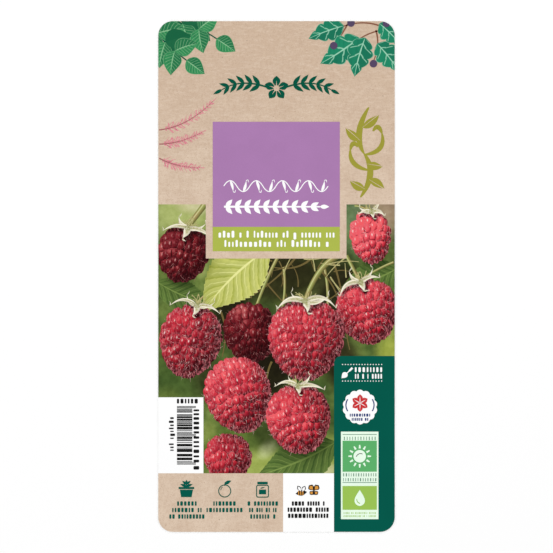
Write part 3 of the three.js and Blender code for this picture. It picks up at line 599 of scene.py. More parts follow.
def band(film, path, half_width, head, steps=12, columns=3, tone=0.0, shade=None):
    """A strip along a curve. Its points know their place along it, 0 to 1, and across it, -1 to 1."""
    points, run, side = [], [], []
    for k in range(steps + 1):
        t = k / steps
        at, direction = along(path, t)
        normal = np.array([-direction[1], direction[0]])
        for j in range(columns):
            across = 2 * j / (columns - 1) - 1
            points.append(tuple(at + normal * across * half_width(t)))
            run.append(t)
            side.append(across)
    faces = []
    for k in range(steps):
        for j in range(columns - 1):
            first = k * columns + j
            faces.append((first + 1, first + columns + 1, first + columns, first))
    shades = [shade(*p) for p in points] if shade else [0.0] * len(points)
    film.island(points, faces, head, along=run, across=side, tone=[tone] * len(points), shade=shades)


def ribbon(film, path, start, end, head, steps=10, columns=3):
    """A band whose width goes evenly from start to end."""
    band(film, path, lambda t: (start + (end - start) * t) / 2, head, steps, columns)


def straight(start, end):
    """The curve of a straight line."""
    return [start, ((start[0] + end[0]) / 2, (start[1] + end[1]) / 2), end]


def even(t):
    """A margin with no teeth and no lobes."""
    return 1.0


def toothed(depth, teeth):
    """A margin of forward-leaning teeth."""
    return lambda t: 1 + depth * (1 - 2 * ((t * teeth) % 1.0))


def lobed(lobes, depth, roundness=0.6):
    """A margin of round lobes with narrow clefts between them."""
    return lambda t: 1 - depth * (1 - abs(math.sin(math.pi * lobes * t)) ** roundness)


def leaf_path(base, tip, bend=0.0):
    """The midrib of a leaf: bend bows it to one side."""
    dx, dy = tip[0] - base[0], tip[1] - base[1]
    return [base, ((base[0] + tip[0]) / 2 - dy * bend, (base[1] + tip[1]) / 2 + dx * bend), tip]


def swelling(width, full, least):
    """Half the width of a leaf along its length: full moves its widest place, and least blunts its ends."""
    return lambda t: max(least, width / 2 * math.sin(math.pi * t ** full))


def leaf(film, base, tip, width, head, bend=0.0, full=0.8, edge=even, steps=16, columns=3, tone=0.0,
         shade=None):
    """A leaf from its base to its tip. Edge shapes its margin."""
    path = leaf_path(base, tip, bend)
    half = swelling(width, full, 0.03)
    band(film, path, lambda t: half(t) * edge(t), head, steps, columns, tone, shade)


# --------------------------------------------------
# Geometry Nodes: rows, rings, pairs of leaves and fine hairs
# --------------------------------------------------


class Tree(Nodes):
    """A tree of Geometry Nodes with named inputs."""

    def __init__(self, name, **inputs):
        super().__init__(bpy.data.node_groups.new(name, "GeometryNodeTree"))
        face = self.tree.interface
        face.new_socket("Geometry", in_out="OUTPUT", socket_type="NodeSocketGeometry")
        face.new_socket("Geometry", in_out="INPUT", socket_type="NodeSocketGeometry")
        for title, kind in inputs.items():
            face.new_socket(title, in_out="INPUT", socket_type="NodeSocket" + kind)
        self.inputs = self.tree.nodes.new("NodeGroupInput").outputs
        self.output = self.tree.nodes.new("NodeGroupOutput").inputs[0]

    def vector(self, x=0.0, y=0.0, z=0.0):
        """A vector, from sockets and numbers."""
        return self.node("ShaderNodeCombineXYZ", {0: x, 1: y, 2: z}).outputs[0]

    def chance(self, low=0.0, high=1.0, draw=0):
        """A random number for each point, fixed by the tree's own seed and by which draw it is."""
        seed = self.maths("ADD", self.inputs["Seed"], draw)
        return self.node("FunctionNodeRandomValue", {2: low, 3: high, "Seed": seed}).outputs[1]

    def stray(self, most, draw=0):
        """A random number for each point, as far below zero as above it."""
        return self.chance(self.maths("MULTIPLY", most, -1.0), most, draw)

    def index(self):
        """The number of each point, from 0."""
        return self.node("GeometryNodeInputIndex", {}).outputs[0]

    def planted(self, points, offset, angle=0.0, size=(1, 1, 1)):
        """Moves the points and sets the object that is repeated on each, turned by the angle."""
        shape = self.node("GeometryNodeObjectInfo", {"Object": self.inputs["Shape"]}).outputs["Geometry"]
        lifted = self.node("GeometryNodeSetPosition", {"Geometry": points, "Offset": offset})
        return self.node("GeometryNodeInstanceOnPoints", {
            "Points": lifted.outputs[0], "Instance": shape, "Rotation": self.vector(z=angle), "Scale": size,
        }).outputs[0]

    def ends_with(self, geometry):
        """Realizes the instances and sets the material."""
        solid = self.node("GeometryNodeRealizeInstances", {"Geometry": geometry}).outputs[0]
        coated = self.node("GeometryNodeSetMaterial", {"Geometry": solid, "Material": self.inputs["Ink"]})
        self.link(coated.outputs[0], self.output)
        return self.tree


TALL_ABOVE = 0.6  # a mark of a row is taller than the others if a random number is above this
LOW_ABOVE = 0.75  # and such a mark hangs below them, not above, if another one is above this


def row_tree():
    """Marks in a row: random widths, a few taller ones, and wider gaps as between words."""
    tree = Tree("row_of_marks", Count="Int", Narrow="Float", Wide="Float", Gap="Float", Pause="Float",
                Share="Float", Height="Float", Rise="Float", Seed="Int", Shape="Object", Ink="Material")
    width = tree.chance(tree.inputs["Narrow"], tree.inputs["Wide"])
    word = tree.maths("LESS_THAN", tree.chance(draw=17), tree.inputs["Share"])
    gap = tree.maths("MULTIPLY_ADD", word, tree.inputs["Pause"], tree.inputs["Gap"])
    pitch = tree.maths("ADD", width, gap)
    run = tree.node("GeometryNodeAccumulateField", {"Value": pitch}, data_type="FLOAT").outputs["Trailing"]
    is_tall = tree.maths("GREATER_THAN", tree.chance(draw=5), TALL_ABOVE)
    is_low = tree.maths("GREATER_THAN", tree.chance(draw=9), LOW_ABOVE)
    rise = tree.maths("MULTIPLY", tree.inputs["Height"], tree.inputs["Rise"])
    extra = tree.maths("MULTIPLY", rise, is_tall)
    shift = tree.maths("MULTIPLY", extra, tree.maths("SUBTRACT", 0.5, is_low))
    line = tree.node("GeometryNodeMeshLine", {"Count": tree.inputs["Count"], "Offset": (0, 0, 0)})
    place = tree.vector(tree.maths("MULTIPLY", run, MM), tree.maths("MULTIPLY", shift, MM))
    size = tree.vector(width, tree.maths("ADD", tree.inputs["Height"], extra), 1.0)
    return tree.ends_with(tree.planted(line.outputs[0], place, size=size))


def ring_tree():
    """Rays or petals round a centre."""
    tree = Tree("ring_of_marks", Count="Int", Lift="Float", Start="Float", Shape="Object", Ink="Material")
    circle = tree.node("GeometryNodeMeshCircle", {"Vertices": tree.inputs["Count"], "Radius": 0.0})
    share = tree.maths("DIVIDE", tree.index(), tree.inputs["Count"])
    angle = tree.maths("ADD", tree.maths("MULTIPLY", share, 2 * math.pi), tree.inputs["Start"])
    height = tree.maths("MULTIPLY", tree.index(), tree.maths("MULTIPLY", tree.inputs["Lift"], MM))
    return tree.ends_with(tree.planted(circle.outputs[0], tree.vector(z=height), angle))


CLOSING = 8.0  # how late the pairs of leaves close towards the leaf at the end of a stem


def pairs_tree():
    """Leaves in pairs along a stem, smaller towards its end, with one at the end."""
    tree = Tree("pairs_of_leaves", Pairs="Int", First="Float", Spread="Float", Taper="Float", Jitter="Float",
                Lift="Float", Seed="Int", Shape="Object", Ink="Material")
    curve = tree.node("GeometryNodeMeshToCurve", {"Mesh": tree.inputs["Geometry"]})
    part = tree.node("GeometryNodeTrimCurve", {"Curve": curve.outputs[0], "Start": tree.inputs["First"]})
    nodes = tree.node("GeometryNodeResampleCurve", {"Curve": part.outputs[0], "Count": tree.inputs["Pairs"]})
    tangent = tree.node("GeometryNodeInputTangent", {}).outputs[0]
    lean = tree.node("ShaderNodeSeparateXYZ", {0: tangent})
    heading = tree.maths("ARCTAN2", lean.outputs[1], lean.outputs[0])
    last = tree.maths("MAXIMUM", tree.maths("SUBTRACT", tree.inputs["Pairs"], 1), 1)
    run = tree.maths("DIVIDE", tree.index(), last)
    sizes = tree.maths("SUBTRACT", 1.0, tree.maths("MULTIPLY", run, tree.inputs["Taper"]))
    open_share = tree.maths("SUBTRACT", 1.0, tree.maths("POWER", run, CLOSING))
    joined = tree.node("GeometryNodeJoinGeometry", {})
    for side in (-1, 1):
        stray = tree.stray(tree.inputs["Jitter"], side)
        turn = tree.maths("MULTIPLY", tree.maths("ADD", tree.inputs["Spread"], stray), side)
        angle = tree.maths("ADD", heading, tree.maths("MULTIPLY", turn, open_share))
        size = tree.maths("MULTIPLY", sizes, tree.maths("SUBTRACT", 1.0, tree.maths("ABSOLUTE", stray)))
        rank = tree.maths("ADD", tree.index(), 0.5 + side / 4)  # one side's leaves over the other's
        height = tree.maths("MULTIPLY", rank, tree.maths("MULTIPLY", tree.inputs["Lift"], MM))
        leaves = tree.planted(nodes.outputs[0], tree.vector(z=height), angle, tree.vector(size, size, 1.0))
        tree.link(leaves, joined.inputs[0])
    return tree.ends_with(joined.outputs[0])


SHORTEST, LONGEST = 0.45, 1.1  # hairs, by the length of the one that is repeated


def down_tree():
    """Fine hairs on a surface, that lean away from its middle with some stray."""
    tree = Tree("fine_down", Density="Float", CentreX="Float", CentreY="Float", Stray="Float", Lift="Float",
                Seed="Int", Shape="Object", Ink="Material")
    roots = tree.node("GeometryNodeDistributePointsOnFaces", {
        "Mesh": tree.inputs["Geometry"], "Density": tree.inputs["Density"], "Seed": tree.inputs["Seed"],
    })
    place = tree.node("ShaderNodeSeparateXYZ", {0: tree.node("GeometryNodeInputPosition", {}).outputs[0]})
    aside = tree.maths("SUBTRACT", place.outputs[0], tree.inputs["CentreX"])
    above = tree.maths("SUBTRACT", place.outputs[1], tree.inputs["CentreY"])
    angle = tree.maths("ADD", tree.maths("ARCTAN2", above, aside), tree.stray(tree.inputs["Stray"]))
    size = tree.chance(SHORTEST, LONGEST, draw=3)
    lift = tree.vector(z=tree.inputs["Lift"])
    return tree.ends_with(tree.planted(roots.outputs[0], lift, angle, tree.vector(size, size, 1.0)))


TREES = {"row": row_tree(), "ring": ring_tree(), "pairs": pairs_tree(), "down": down_tree()}


def grown(tree, source=None, **inputs):
    """The plain mesh that a tree of Geometry Nodes makes from a source mesh."""
    holder = bpy.data.objects.new("holder", source or bpy.data.meshes.new("empty"))
    bpy.context.scene.collection.objects.link(holder)
    modifier = holder.modifiers.new("grow", "NODES")
    modifier.node_group = TREES[tree]
    for socket in TREES[tree].interface.items_tree:
        if socket.in_out == "INPUT" and socket.name in inputs:
            modifier[socket.identifier] = inputs[socket.name]
    holder.update_tag()
    ready = holder.evaluated_get(bpy.context.evaluated_depsgraph_get())
    mesh = bpy.data.meshes.new_from_object(ready)
    holder.modifiers.remove(modifier)
    bpy.data.objects.remove(holder)
    return mesh


def pattern(name, draw, foot=0.0, head=0.05):
    """A closed shape to repeat, kept out of the scene. Draw adds its islands to a film."""
    film = Film(foot)
    draw(film, head)
    return bpy.data.objects.new(name, film.close().to_mesh(name))


def places_of(mesh):
    """The x, y and z of each point of a mesh."""
    places = np.empty(len(mesh.vertices) * 3, np.float32)
    mesh.vertices.foreach_get("co", places)
    return places.reshape(-1, 3)


def moved(mesh, x=0.0, y=0.0, z=0.0, turn=0.0):
    """Turns a mesh about its origin and moves it, in millimetres."""
    places = places_of(mesh)
    ahead, aside = places[:, 0].copy(), places[:, 1].copy()
    places[:, 0] = ahead * math.cos(turn) - aside * math.sin(turn) + x * MM
    places[:, 1] = ahead * math.sin(turn) + aside * math.cos(turn) + y * MM
    places[:, 2] += z * MM
    mesh.vertices.foreach_set("co", places.ravel())
    mesh.update()
    return mesh


def stretched(mesh, length):
    """Fits a row to a length, centred on the origin."""
    places = places_of(mesh)
    ahead = places[:, 0]
    ahead -= (ahead.min() + ahead.max()) / 2
    places[:, 0] = ahead * length * MM / (ahead.max() - ahead.min())
    mesh.vertices.foreach_set("co", places.ravel())
    return mesh


def together(name, *meshes):
    """Puts meshes into one. Their marks are kept."""
    whole = bmesh.new()
    for mark in MARKS:
        whole.verts.layers.float.new(mark)
    for mesh in meshes:
        for mark in MARKS:
            if mark not in mesh.attributes:
                mesh.attributes.new(mark, "FLOAT", "POINT")
        whole.from_mesh(mesh)
    made = bpy.data.meshes.new(name)
    whole.to_mesh(made)
    whole.free()
    return made


def path_mesh(path, steps=24):
    """A chain of edges along a curve, for a tree to follow."""
    mesh = bpy.data.meshes.new("path")
    points = [(*(along(path, k / steps)[0] * MM), 0) for k in range(steps + 1)]
    mesh.from_pydata(points, [(k, k + 1) for k in range(steps)], [])
    return mesh


# --------------------------------------------------
# Rows of small marks in the places of words
# --------------------------------------------------


def upright_mark(film, head):
    """A small upright mark with cut corners, one millimetre wide and high."""
    side, end = 0.26, 0.1  # how much of the width and of the height the cuts take
    polygon(film, [
        (side, -0.5), (1 - side, -0.5), (1, end - 0.5), (1, 0.5 - end),
        (1 - side, 0.5), (side, 0.5), (0, 0.5 - end), (0, end - 0.5),
    ], head)


MARK_SHAPE = pattern("upright_mark", upright_mark)
DOT_SHAPE = pattern("dot_mark", lambda film, head: disc(film, 0.5, 0, 0.5, head, 12))
DOT_PITCH = 2.5  # of a dotted rule, in dots
UPWARDS = math.pi / 2
NARROWEST, WIDEST = 0.6, 1.4  # marks of a row, by their mean width
PAUSE = 0.9  # how much wider a gap as between words is, by the pitch of the marks

Line = namedtuple("Line", "x y length height turn")
Writing = namedtuple("Writing", "pitch height rise share")
SMALL = Writing(0.6, 0.76, 0.36, 0.18)  # some marks rise above the others, or hang below
CAPITALS = Writing(0.64, 1.0, 0.0, 0.14)
FIGURES = Writing(0.72, 1.0, 0.0, 0.0)  # no gaps as between words


def row(line, z, ink, shape, **inputs):
    """A row of one shape that fills a line, centred on the line's x and y."""
    mesh = stretched(grown("row", Shape=shape, Ink=INKS[ink], **inputs), line.length)
    return moved(mesh, line.x, line.y, z, line.turn)


def words(line, z, ink, seed, bold, writing):
    """Small marks in the place of one line of words. Bold is the mean width of a mark, by the pitch."""
    pitch = line.height * writing.pitch
    mean = pitch * bold
    return row(
        line, z, ink, MARK_SHAPE, Count=max(1, round(line.length / (pitch * (1 + writing.share)))),
        Narrow=mean * NARROWEST, Wide=mean * WIDEST, Gap=pitch * (1 - bold), Pause=pitch * PAUSE,
        Share=writing.share, Height=line.height * writing.height, Rise=writing.rise, Seed=seed,
    )


def dotted(line, z, ink, dot):
    """A rule of round dots."""
    return row(
        line, z, ink, DOT_SHAPE, Count=round(line.length / (DOT_PITCH * dot)), Narrow=dot, Wide=dot,
        Gap=(DOT_PITCH - 1) * dot, Pause=0.0, Share=0.0, Height=dot, Rise=0.0, Seed=0,
    )


def lines(x, y, lengths, height, pitch):
    """Centred lines, one below the other."""
    return [Line(x, y - pitch * k, length, height, 0.0) for k, length in enumerate(lengths)]


def care_lines(x, lengths, pitch=2.75):
    """The lines below a care symbol."""
    return lines(x, -96, lengths, 1.85, pitch)


def upright(x, places, height):
    """Lines that read upwards, one after the other: each place is a middle and a length."""
    return [Line(x, y, length, height, UPWARDS) for y, length in places]


CODE_FIGURES = [(-61.3, 10.2), (-73.1, 11.0), (-80.9, 1.5)]
Words = namedtuple("Words", "z ink rows bold writing")
WORDS = {
    "band_words": Words(PANEL_TOP, "white_print", lines(0, 17.5, (49, 44), 2.8, 3.9), 0.53, SMALL),
    "pot_words": Words(FIELD_TOP, "dark_green_print", care_lines(-37.9, (8.2, 12.4, 14.8)), 0.62, CAPITALS),
    "fruit_words": Words(FIELD_TOP, "dark_green_print", care_lines(-22, (9.4, 15.2)), 0.62, CAPITALS),
    "jar_words": Words(FIELD_TOP, "dark_green_print", care_lines(-5.8, (12.8, 11.6, 10.6)), 0.62, CAPITALS),
    "insect_words": Words(FIELD_TOP, "black_print", care_lines(13.4, (13.8, 17.4, 17), 2.6), 0.72, CAPITALS),
    "code_head_words": Words(FIELD_TOP, "black_print", lines(-37.7, -52.7, (8.8,), 2, 0), 0.6, FIGURES),
    "code_left_words": Words(FIELD_TOP, "black_print", upright(-44.2, [(-66.6, 14.2)], 2), 0.53, SMALL),
    "code_right_words": Words(FIELD_TOP, "black_print", upright(-33.9, CODE_FIGURES, 2.4), 0.53, FIGURES),
    "strip_words": Words(
        FIELD_TOP, "white_print", lines(38.9, -39.4, (11.5, 11.4), 2.05, 2.8), 0.5, CAPITALS),
    "seal_words": Words(PANEL_TOP, "blue_print", lines(35.3, -58.6, (8.6, 7), 1.25, 1.8), 0.62, CAPITALS),
    "badge_head_words": Words(PANEL_TOP, "grey_print", lines(35.2, -68.45, (13.4,), 1.5, 0), 0.26, FIGURES),
    "badge_middle_words": Words(
        PANEL_TOP, "grey_print", lines(35.2, -83.85, (14, 14), 1.4, 2.05), 0.34, FIGURES),
    "badge_foot_words": Words(
        PANEL_TOP, "fresh_green_print", lines(35.2, -100, (13.6, 13.6), 0.8, 1.3), 0.4, CAPITALS),
}


def print_words():
    """Each group of rows is one piece."""
    for rank, (name, group) in enumerate(WORDS.items()):
        meshes = [
            words(line, group.z, group.ink, 100 * rank + k, group.bold, group.writing)
            for k, line in enumerate(group.rows)
        ]
        piece(name, together(name, *meshes), group.ink)


# --------------------------------------------------
# The fields of colour keep their CAD shapes
# --------------------------------------------------

FIELD_INKS = {
    "card_plastic": ["card_body"],
    "kraft_print": ["kraft_header_field", "kraft_footer_field"],
    "white_print": ["code_box_field", "white_footer_field", "seal_badge"],
    "picture_ground": ["picture_field"],
    "dark_green_print": ["side_strip_field"],
    "purple_print": ["name_panel"],
    "lime_print": ["name_band"],
    "pale_green_print": ["badge_frame"],
    "mid_green_print": ["badge_upper_field"],
    "fresh_green_print": ["badge_lower_field"],
}


def ink_fields():
    """Inks the CAD nodes that no piece stands for."""
    for ink, nodes in FIELD_INKS.items():
        for name in nodes:
            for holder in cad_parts[name].material_slots:
                holder.material = INKS[ink]


# --------------------------------------------------
# Ornaments in the places of names
# --------------------------------------------------

NAME_TENDRIL = {"y": 38.2, "left": -22.3, "right": 21.8, "stem": 0.4, "bends": 8, "swing": 4.6, "leaf": 1.15}
NAME_LEAVES = {"y": 29.5, "left": -22.2, "right": 21.8, "stem": 0.9, "pairs": 11, "reach": 4.1, "width": 1.9}
EMBLEM = {
    "x": 0, "y": 79.6, "half_width": 27, "rise": 4.6, "drop": 0.6, "pairs": 6, "reach": 5.2, "width": 1.8,
    "petals": 5, "petal": 5.2, "heart": 1.25,
}


def about(x, y):
    """Gives places by their distance from one place."""
    return lambda dx, dy: (x + dx, y + dy)


def leaf_pattern(name, reach, width, full=0.8, steps=10):
    """A leaf that points along X, to repeat."""
    def draw(film, head):
        leaf(film, (0, 0), (reach, 0), width, head, full=full, steps=steps)
    return pattern(name, draw)


def pairs(path, shape, ink, z, count, first, spread, taper, jitter=0.0, seed=0):
    """Pairs of leaves along a curve."""
    return moved(grown(
        "pairs", path_mesh(path), Pairs=count, First=first, Spread=spread, Taper=taper, Jitter=jitter,
        Lift=LIFT, Seed=seed, Shape=shape, Ink=INKS[ink],
    ), z=z)


def ring(shape, ink, x, y, z, count, start=0.0, lift=LIFT):
    """Rays or petals round a place."""
    return moved(grown("ring", Count=count, Lift=lift, Start=start, Shape=shape, Ink=INKS[ink]), x, y, z)


def name_tendril():
    """A thin wavy tendril with a small leaf in each bend, which ends in a curl."""
    film = Film(PANEL_TOP)
    top = MARK_TOP - 0.02
    stem, swing = NAME_TENDRIL["stem"], NAME_TENDRIL["swing"]
    pitch = (NAME_TENDRIL["right"] - NAME_TENDRIL["left"]) / NAME_TENDRIL["bends"]
    for k in range(NAME_TENDRIL["bends"]):
        side = -1 if k % 2 else 1
        at = about(NAME_TENDRIL["left"] + k * pitch, NAME_TENDRIL["y"])
        ribbon(film, [at(0, 0), at(pitch / 2, side * swing), at(pitch, 0)], stem, stem, top, 14)
        tip = at(pitch * 0.72, -side * swing / 2)
        leaf(film, at(pitch / 2, side * swing / 2), tip, NAME_TENDRIL["leaf"], top + LIFT, 0.1 * side, 0.7)
        near = about(*tip)
        ribbon(film, [tip, near(1.1, -side * 0.9), near(0.9, side * 0.7)], 0.34, 0.22, top + 2 * LIFT, 8)
    printed("name_tendril_print", film, "white_print", "name_tendril")


def name_leaf_row():
    """A bold row of paired leaves on a straight stem."""
    y, stem, reach = NAME_LEAVES["y"], NAME_LEAVES["stem"], NAME_LEAVES["reach"]
    path = straight((NAME_LEAVES["left"], y), (NAME_LEAVES["right"] - 3.4, y))
    film = Film(PANEL_TOP)
    ribbon(film, path, stem, stem * 0.7, PANEL_TOP + THIN)
    shape = leaf_pattern("bold_leaf", reach, NAME_LEAVES["width"], steps=14)
    leaves = pairs(path, shape, "white_print", PANEL_TOP, NAME_LEAVES["pairs"], 0.02, 0.85, 0.05)
    mesh = together("name_leaf_row_print", film.close().to_mesh("stem"), leaves)
    piece("name_leaf_row_print", mesh, "white_print", "name_leaf_row")


def emblem():
    """Two leafy arms on both sides of a five-petalled flower."""
    x, y, half_width, petal = (EMBLEM[key] for key in ("x", "y", "half_width", "petal"))
    arms = Film()
    shape = leaf_pattern("emblem_leaf", EMBLEM["reach"], EMBLEM["width"], steps=14)
    sprays = []
    for side in (-1, 1):
        path = [
            (x + side * petal * 0.5, y), (x + side * half_width * 0.55, y + EMBLEM["rise"]),
            (x + side * (half_width - 4), y - EMBLEM["drop"]),
        ]
        ribbon(arms, path, 0.8, 0.4, FIELD_TOP + THIN)
        sprays.append(pairs(path, shape, "emblem_print", FIELD_TOP, EMBLEM["pairs"], 0.22, 0.75, 0.2))
    petals = leaf_pattern("emblem_petal", petal, petal * 0.62, full=1.35, steps=16)
    flower = ring(petals, "emblem_print", x, y, FIELD_TOP + THIN, EMBLEM["petals"], UPWARDS)
    mesh = together("emblem_garland_print", *sprays, flower, arms.close().to_mesh("arms"))
    piece("emblem_garland_print", mesh, "emblem_print", "emblem_garland")
    heart = Film()
    disc(heart, x, y, EMBLEM["heart"], PANEL_TOP + 0.004)
    slit = leaf_pattern("petal_line", petal * 0.62, 0.34, full=0.7)
    slits = ring(slit, "kraft_print", x, y, PANEL_TOP - 0.04, EMBLEM["petals"], UPWARDS, lift=0.0)
    mesh = together("emblem_flower_lines", heart.close().to_mesh("heart"), slits)
    piece("emblem_flower_lines", mesh, "kraft_print")


# --------------------------------------------------
# Drawn plants on the header
# --------------------------------------------------

DRAWN_TOP = FIELD_TOP + 0.045  # the lowest leaf of a drawn spray
DARK = 0.85  # the tone of a leaf that lies behind the others
Blade = namedtuple("Blade", "base tip width")

LEFT_SPRAYS = [
    {"path": [(-52, 107), (-38, 109.5), (-24.5, 100)], "pairs": 3, "reach": 12, "width": 9.4, "spread": 0.98},
    {"path": [(-53, 106), (-47, 98), (-37.5, 91)], "pairs": 3, "reach": 12, "width": 9.2, "spread": 1.02},
]
LEFT_UNDER = [  # dark leaves behind the sprays
    Blade((-47, 107), (-36.5, 97.5), 9),
    Blade((-38, 108), (-28, 99.5), 8.4),
    Blade((-50, 98), (-43, 88.5), 8.6),
]


def leaflets(spray):
    """A spray's leaves, each with its bend and tone: pairs that get smaller, and one at the end."""
    def leaflet(t, size, side):
        at, direction = along(spray["path"], t)
        heading = math.atan2(direction[1], direction[0]) + side * spray["spread"]
        return Blade(tuple(at), polar(*at, spray["reach"] * size, heading), spray["width"] * size)

    count = spray["pairs"]
    for k in range(count):
        for side in (-1, 1):
            tone = DARK if (k, side) == (1, 1) else 0.0
            yield leaflet(0.2 + 0.74 * k / count, 1 - 0.2 * k / count, side), 0.08 * side, tone
    yield leaflet(0.97, 0.8, 0), 0.0, 0.0


def left_leaves():
    """Pinnate leaves in the left corner, over darker ones."""
    leaves, stems = Film(), Film()
    drawn = [(blade, 0.06, DARK) for blade in LEFT_UNDER]
    for spray in LEFT_SPRAYS:
        drawn += leaflets(spray)
        ribbon(stems, spray["path"], 0.9, 0.5, FIELD_TOP + 0.02)
    top = DRAWN_TOP - len(LEFT_UNDER) * LIFT
    for blade, bend, tone in drawn:
        leaf(leaves, *blade, top, bend, full=0.7, steps=28, tone=tone)
        top += LIFT
    printed("left_leaves", leaves.trim(CARD_OUTLINE), "leaf_green_print", "leaf_spray_left")
    printed("left_stems", stems.trim(CARD_OUTLINE), "emblem_print")


RIGHT_LEAVES = [
    Blade((35, 101), (18.5, 90), 12.5),
    Blade((37.5, 101), (33, 84.5), 11.5),
    Blade((42.5, 98.5), (52, 86.5), 10.5),
    Blade((28.5, 106), (13.5, 100.5), 9.5),
    Blade((43.5, 107), (53, 97.5), 9),
]
RIGHT_TWIGS = [
    [(53, 104), (42, 106), (33, 99)], [(46, 105), (36, 110), (24, 104)], [(42, 104.2), (44, 98), (41, 91)],
    [(30, 106.6), (27, 101), (24.5, 98.6)],
]
RIGHT_FRUITS = [(41, 90), (31.5, 107.2), (46.5, 107), (24.2, 97.6)]


def right_leaves():
    """Lobed leaves, brown twigs and small round fruits in the right corner."""
    leaves, twigs, fruits = Film(), Film(), Film()
    for k, blade in enumerate(RIGHT_LEAVES):
        leaf(leaves, *blade, DRAWN_TOP + k * LIFT, bend=0.05 * (-1) ** k, full=0.7, edge=lobed(4, 0.3),
             steps=72, tone=0.25 * (k % 2))
    for path in RIGHT_TWIGS:
        ribbon(twigs, path, 0.7, 0.45, FIELD_TOP + 0.03, 16)
    for x, y in RIGHT_FRUITS:
        disc(fruits, x, y, 1.6, PANEL_TOP, 28)
    printed("right_leaves", leaves.trim(CARD_OUTLINE), "teal_print", "leaf_spray_right")
    printed("right_twigs", twigs.trim(CARD_OUTLINE), "twig_print")
    printed("right_fruits", fruits.trim(CARD_OUTLINE), "plum_print")


PLUMES = [
    [(-49.6, 62), (-38, 63), (-27, 74)], [(-49.6, 56), (-41, 56), (-31.5, 61)],
    [(-49.6, 50), (-42, 46), (-32.5, 46)],
]


def plumes():
    """Three pink plumes at the left edge: thin twiglets and loose florets on fine stems."""
    twiglet = leaf_pattern("twiglet", 4.2, 0.26, full=0.6, steps=4)
    floret = leaf_pattern("floret", 1.5, 0.7, full=1.2, steps=5)
    bud = leaf_pattern("bud", 3.3, 0.6, full=2.4, steps=6)
    for k, path in enumerate(PLUMES):
        stem = Film()
        ribbon(stem, path, 0.5, 0.25, FIELD_TOP + 0.06, 20)
        printed(f"pink_plume_stem_{k + 1}", stem, "rose_stem_print")
        name = f"pink_plume_print_{k + 1}"
        mesh = together(
            name,
            pairs(path, twiglet, "pink_print", FIELD_TOP, 10, 0.12, 0.75, 0.4, 0.3, seed=3 * k),
            pairs(path, bud, "pink_print", FIELD_TOP, 13, 0.14, 0.9, 0.35, 0.4, seed=3 * k + 20),
            pairs(path, floret, "pink_print", FIELD_TOP, 19, 0.1, 0.8, 0.4, 0.35, seed=3 * k + 40),
        )
        piece(name, mesh, "pink_print", f"pink_plume_{k + 1}")


VINE_STEM = [[(35.5, 33.5), (43, 44), (37, 52)], [(37, 52), (32, 60), (39, 71.5)]]
VINE_CURLS = [
    [(37.2, 51.5), (46.5, 52.5), (44.6, 60.5)], [(38.9, 45), (30.5, 46.5), (31.2, 53.5)],
    [(44.6, 60.5), (43, 65.3), (40.8, 61.5)], [(31.2, 53.5), (32.2, 58.2), (34.4, 54.8)],
]
VINE_LEAVES = [  # the base and tip of each
    ((39.2, 41), (45.6, 37)), ((38.4, 47.6), (45, 46.6)), ((35.4, 57.5), (29.2, 63)),
    ((36.3, 63), (43.4, 68.6)), ((37.4, 37), (31, 40.6)),
]


def pen(swell):
    """Half the width of a pen stroke that swells in its middle."""
    return lambda t: 0.3 + swell * math.sin(math.pi * t) ** 0.8


def vine():
    """An upright vine with curling ends, in pen strokes, and veined leaves."""
    film, veins = Film(), Film()
    strokes = [(path, pen(1.0)) for path in VINE_STEM] + [(path, pen(0.7)) for path in VINE_CURLS]
    for k, (path, half) in enumerate(strokes):
        band(film, path, half, FIELD_TOP + THIN + k * LIFT, 24)
    for k, (base, tip) in enumerate(VINE_LEAVES):
        leaf(film, base, tip, 3.5, FIELD_TOP + 0.06 + k * LIFT, bend=0.14 * (-1) ** k, steps=20)
        ribbon(veins, straight(base, tip), 0.1, 0.3, PANEL_TOP - 0.03)
    printed("vine_print", film, "olive_print", "vine_ornament")
    printed("vine_veins", veins, "kraft_print")


# --------------------------------------------------
# Badge, seal and strip
# --------------------------------------------------

SUN = {"radius": 2.64, "rays": 12, "ray_from": 3.3, "ray_to": 4.8}
DROP = {"reach": 3.4, "width": 4.4}
BADGE_RULE = 0.14  # half its width


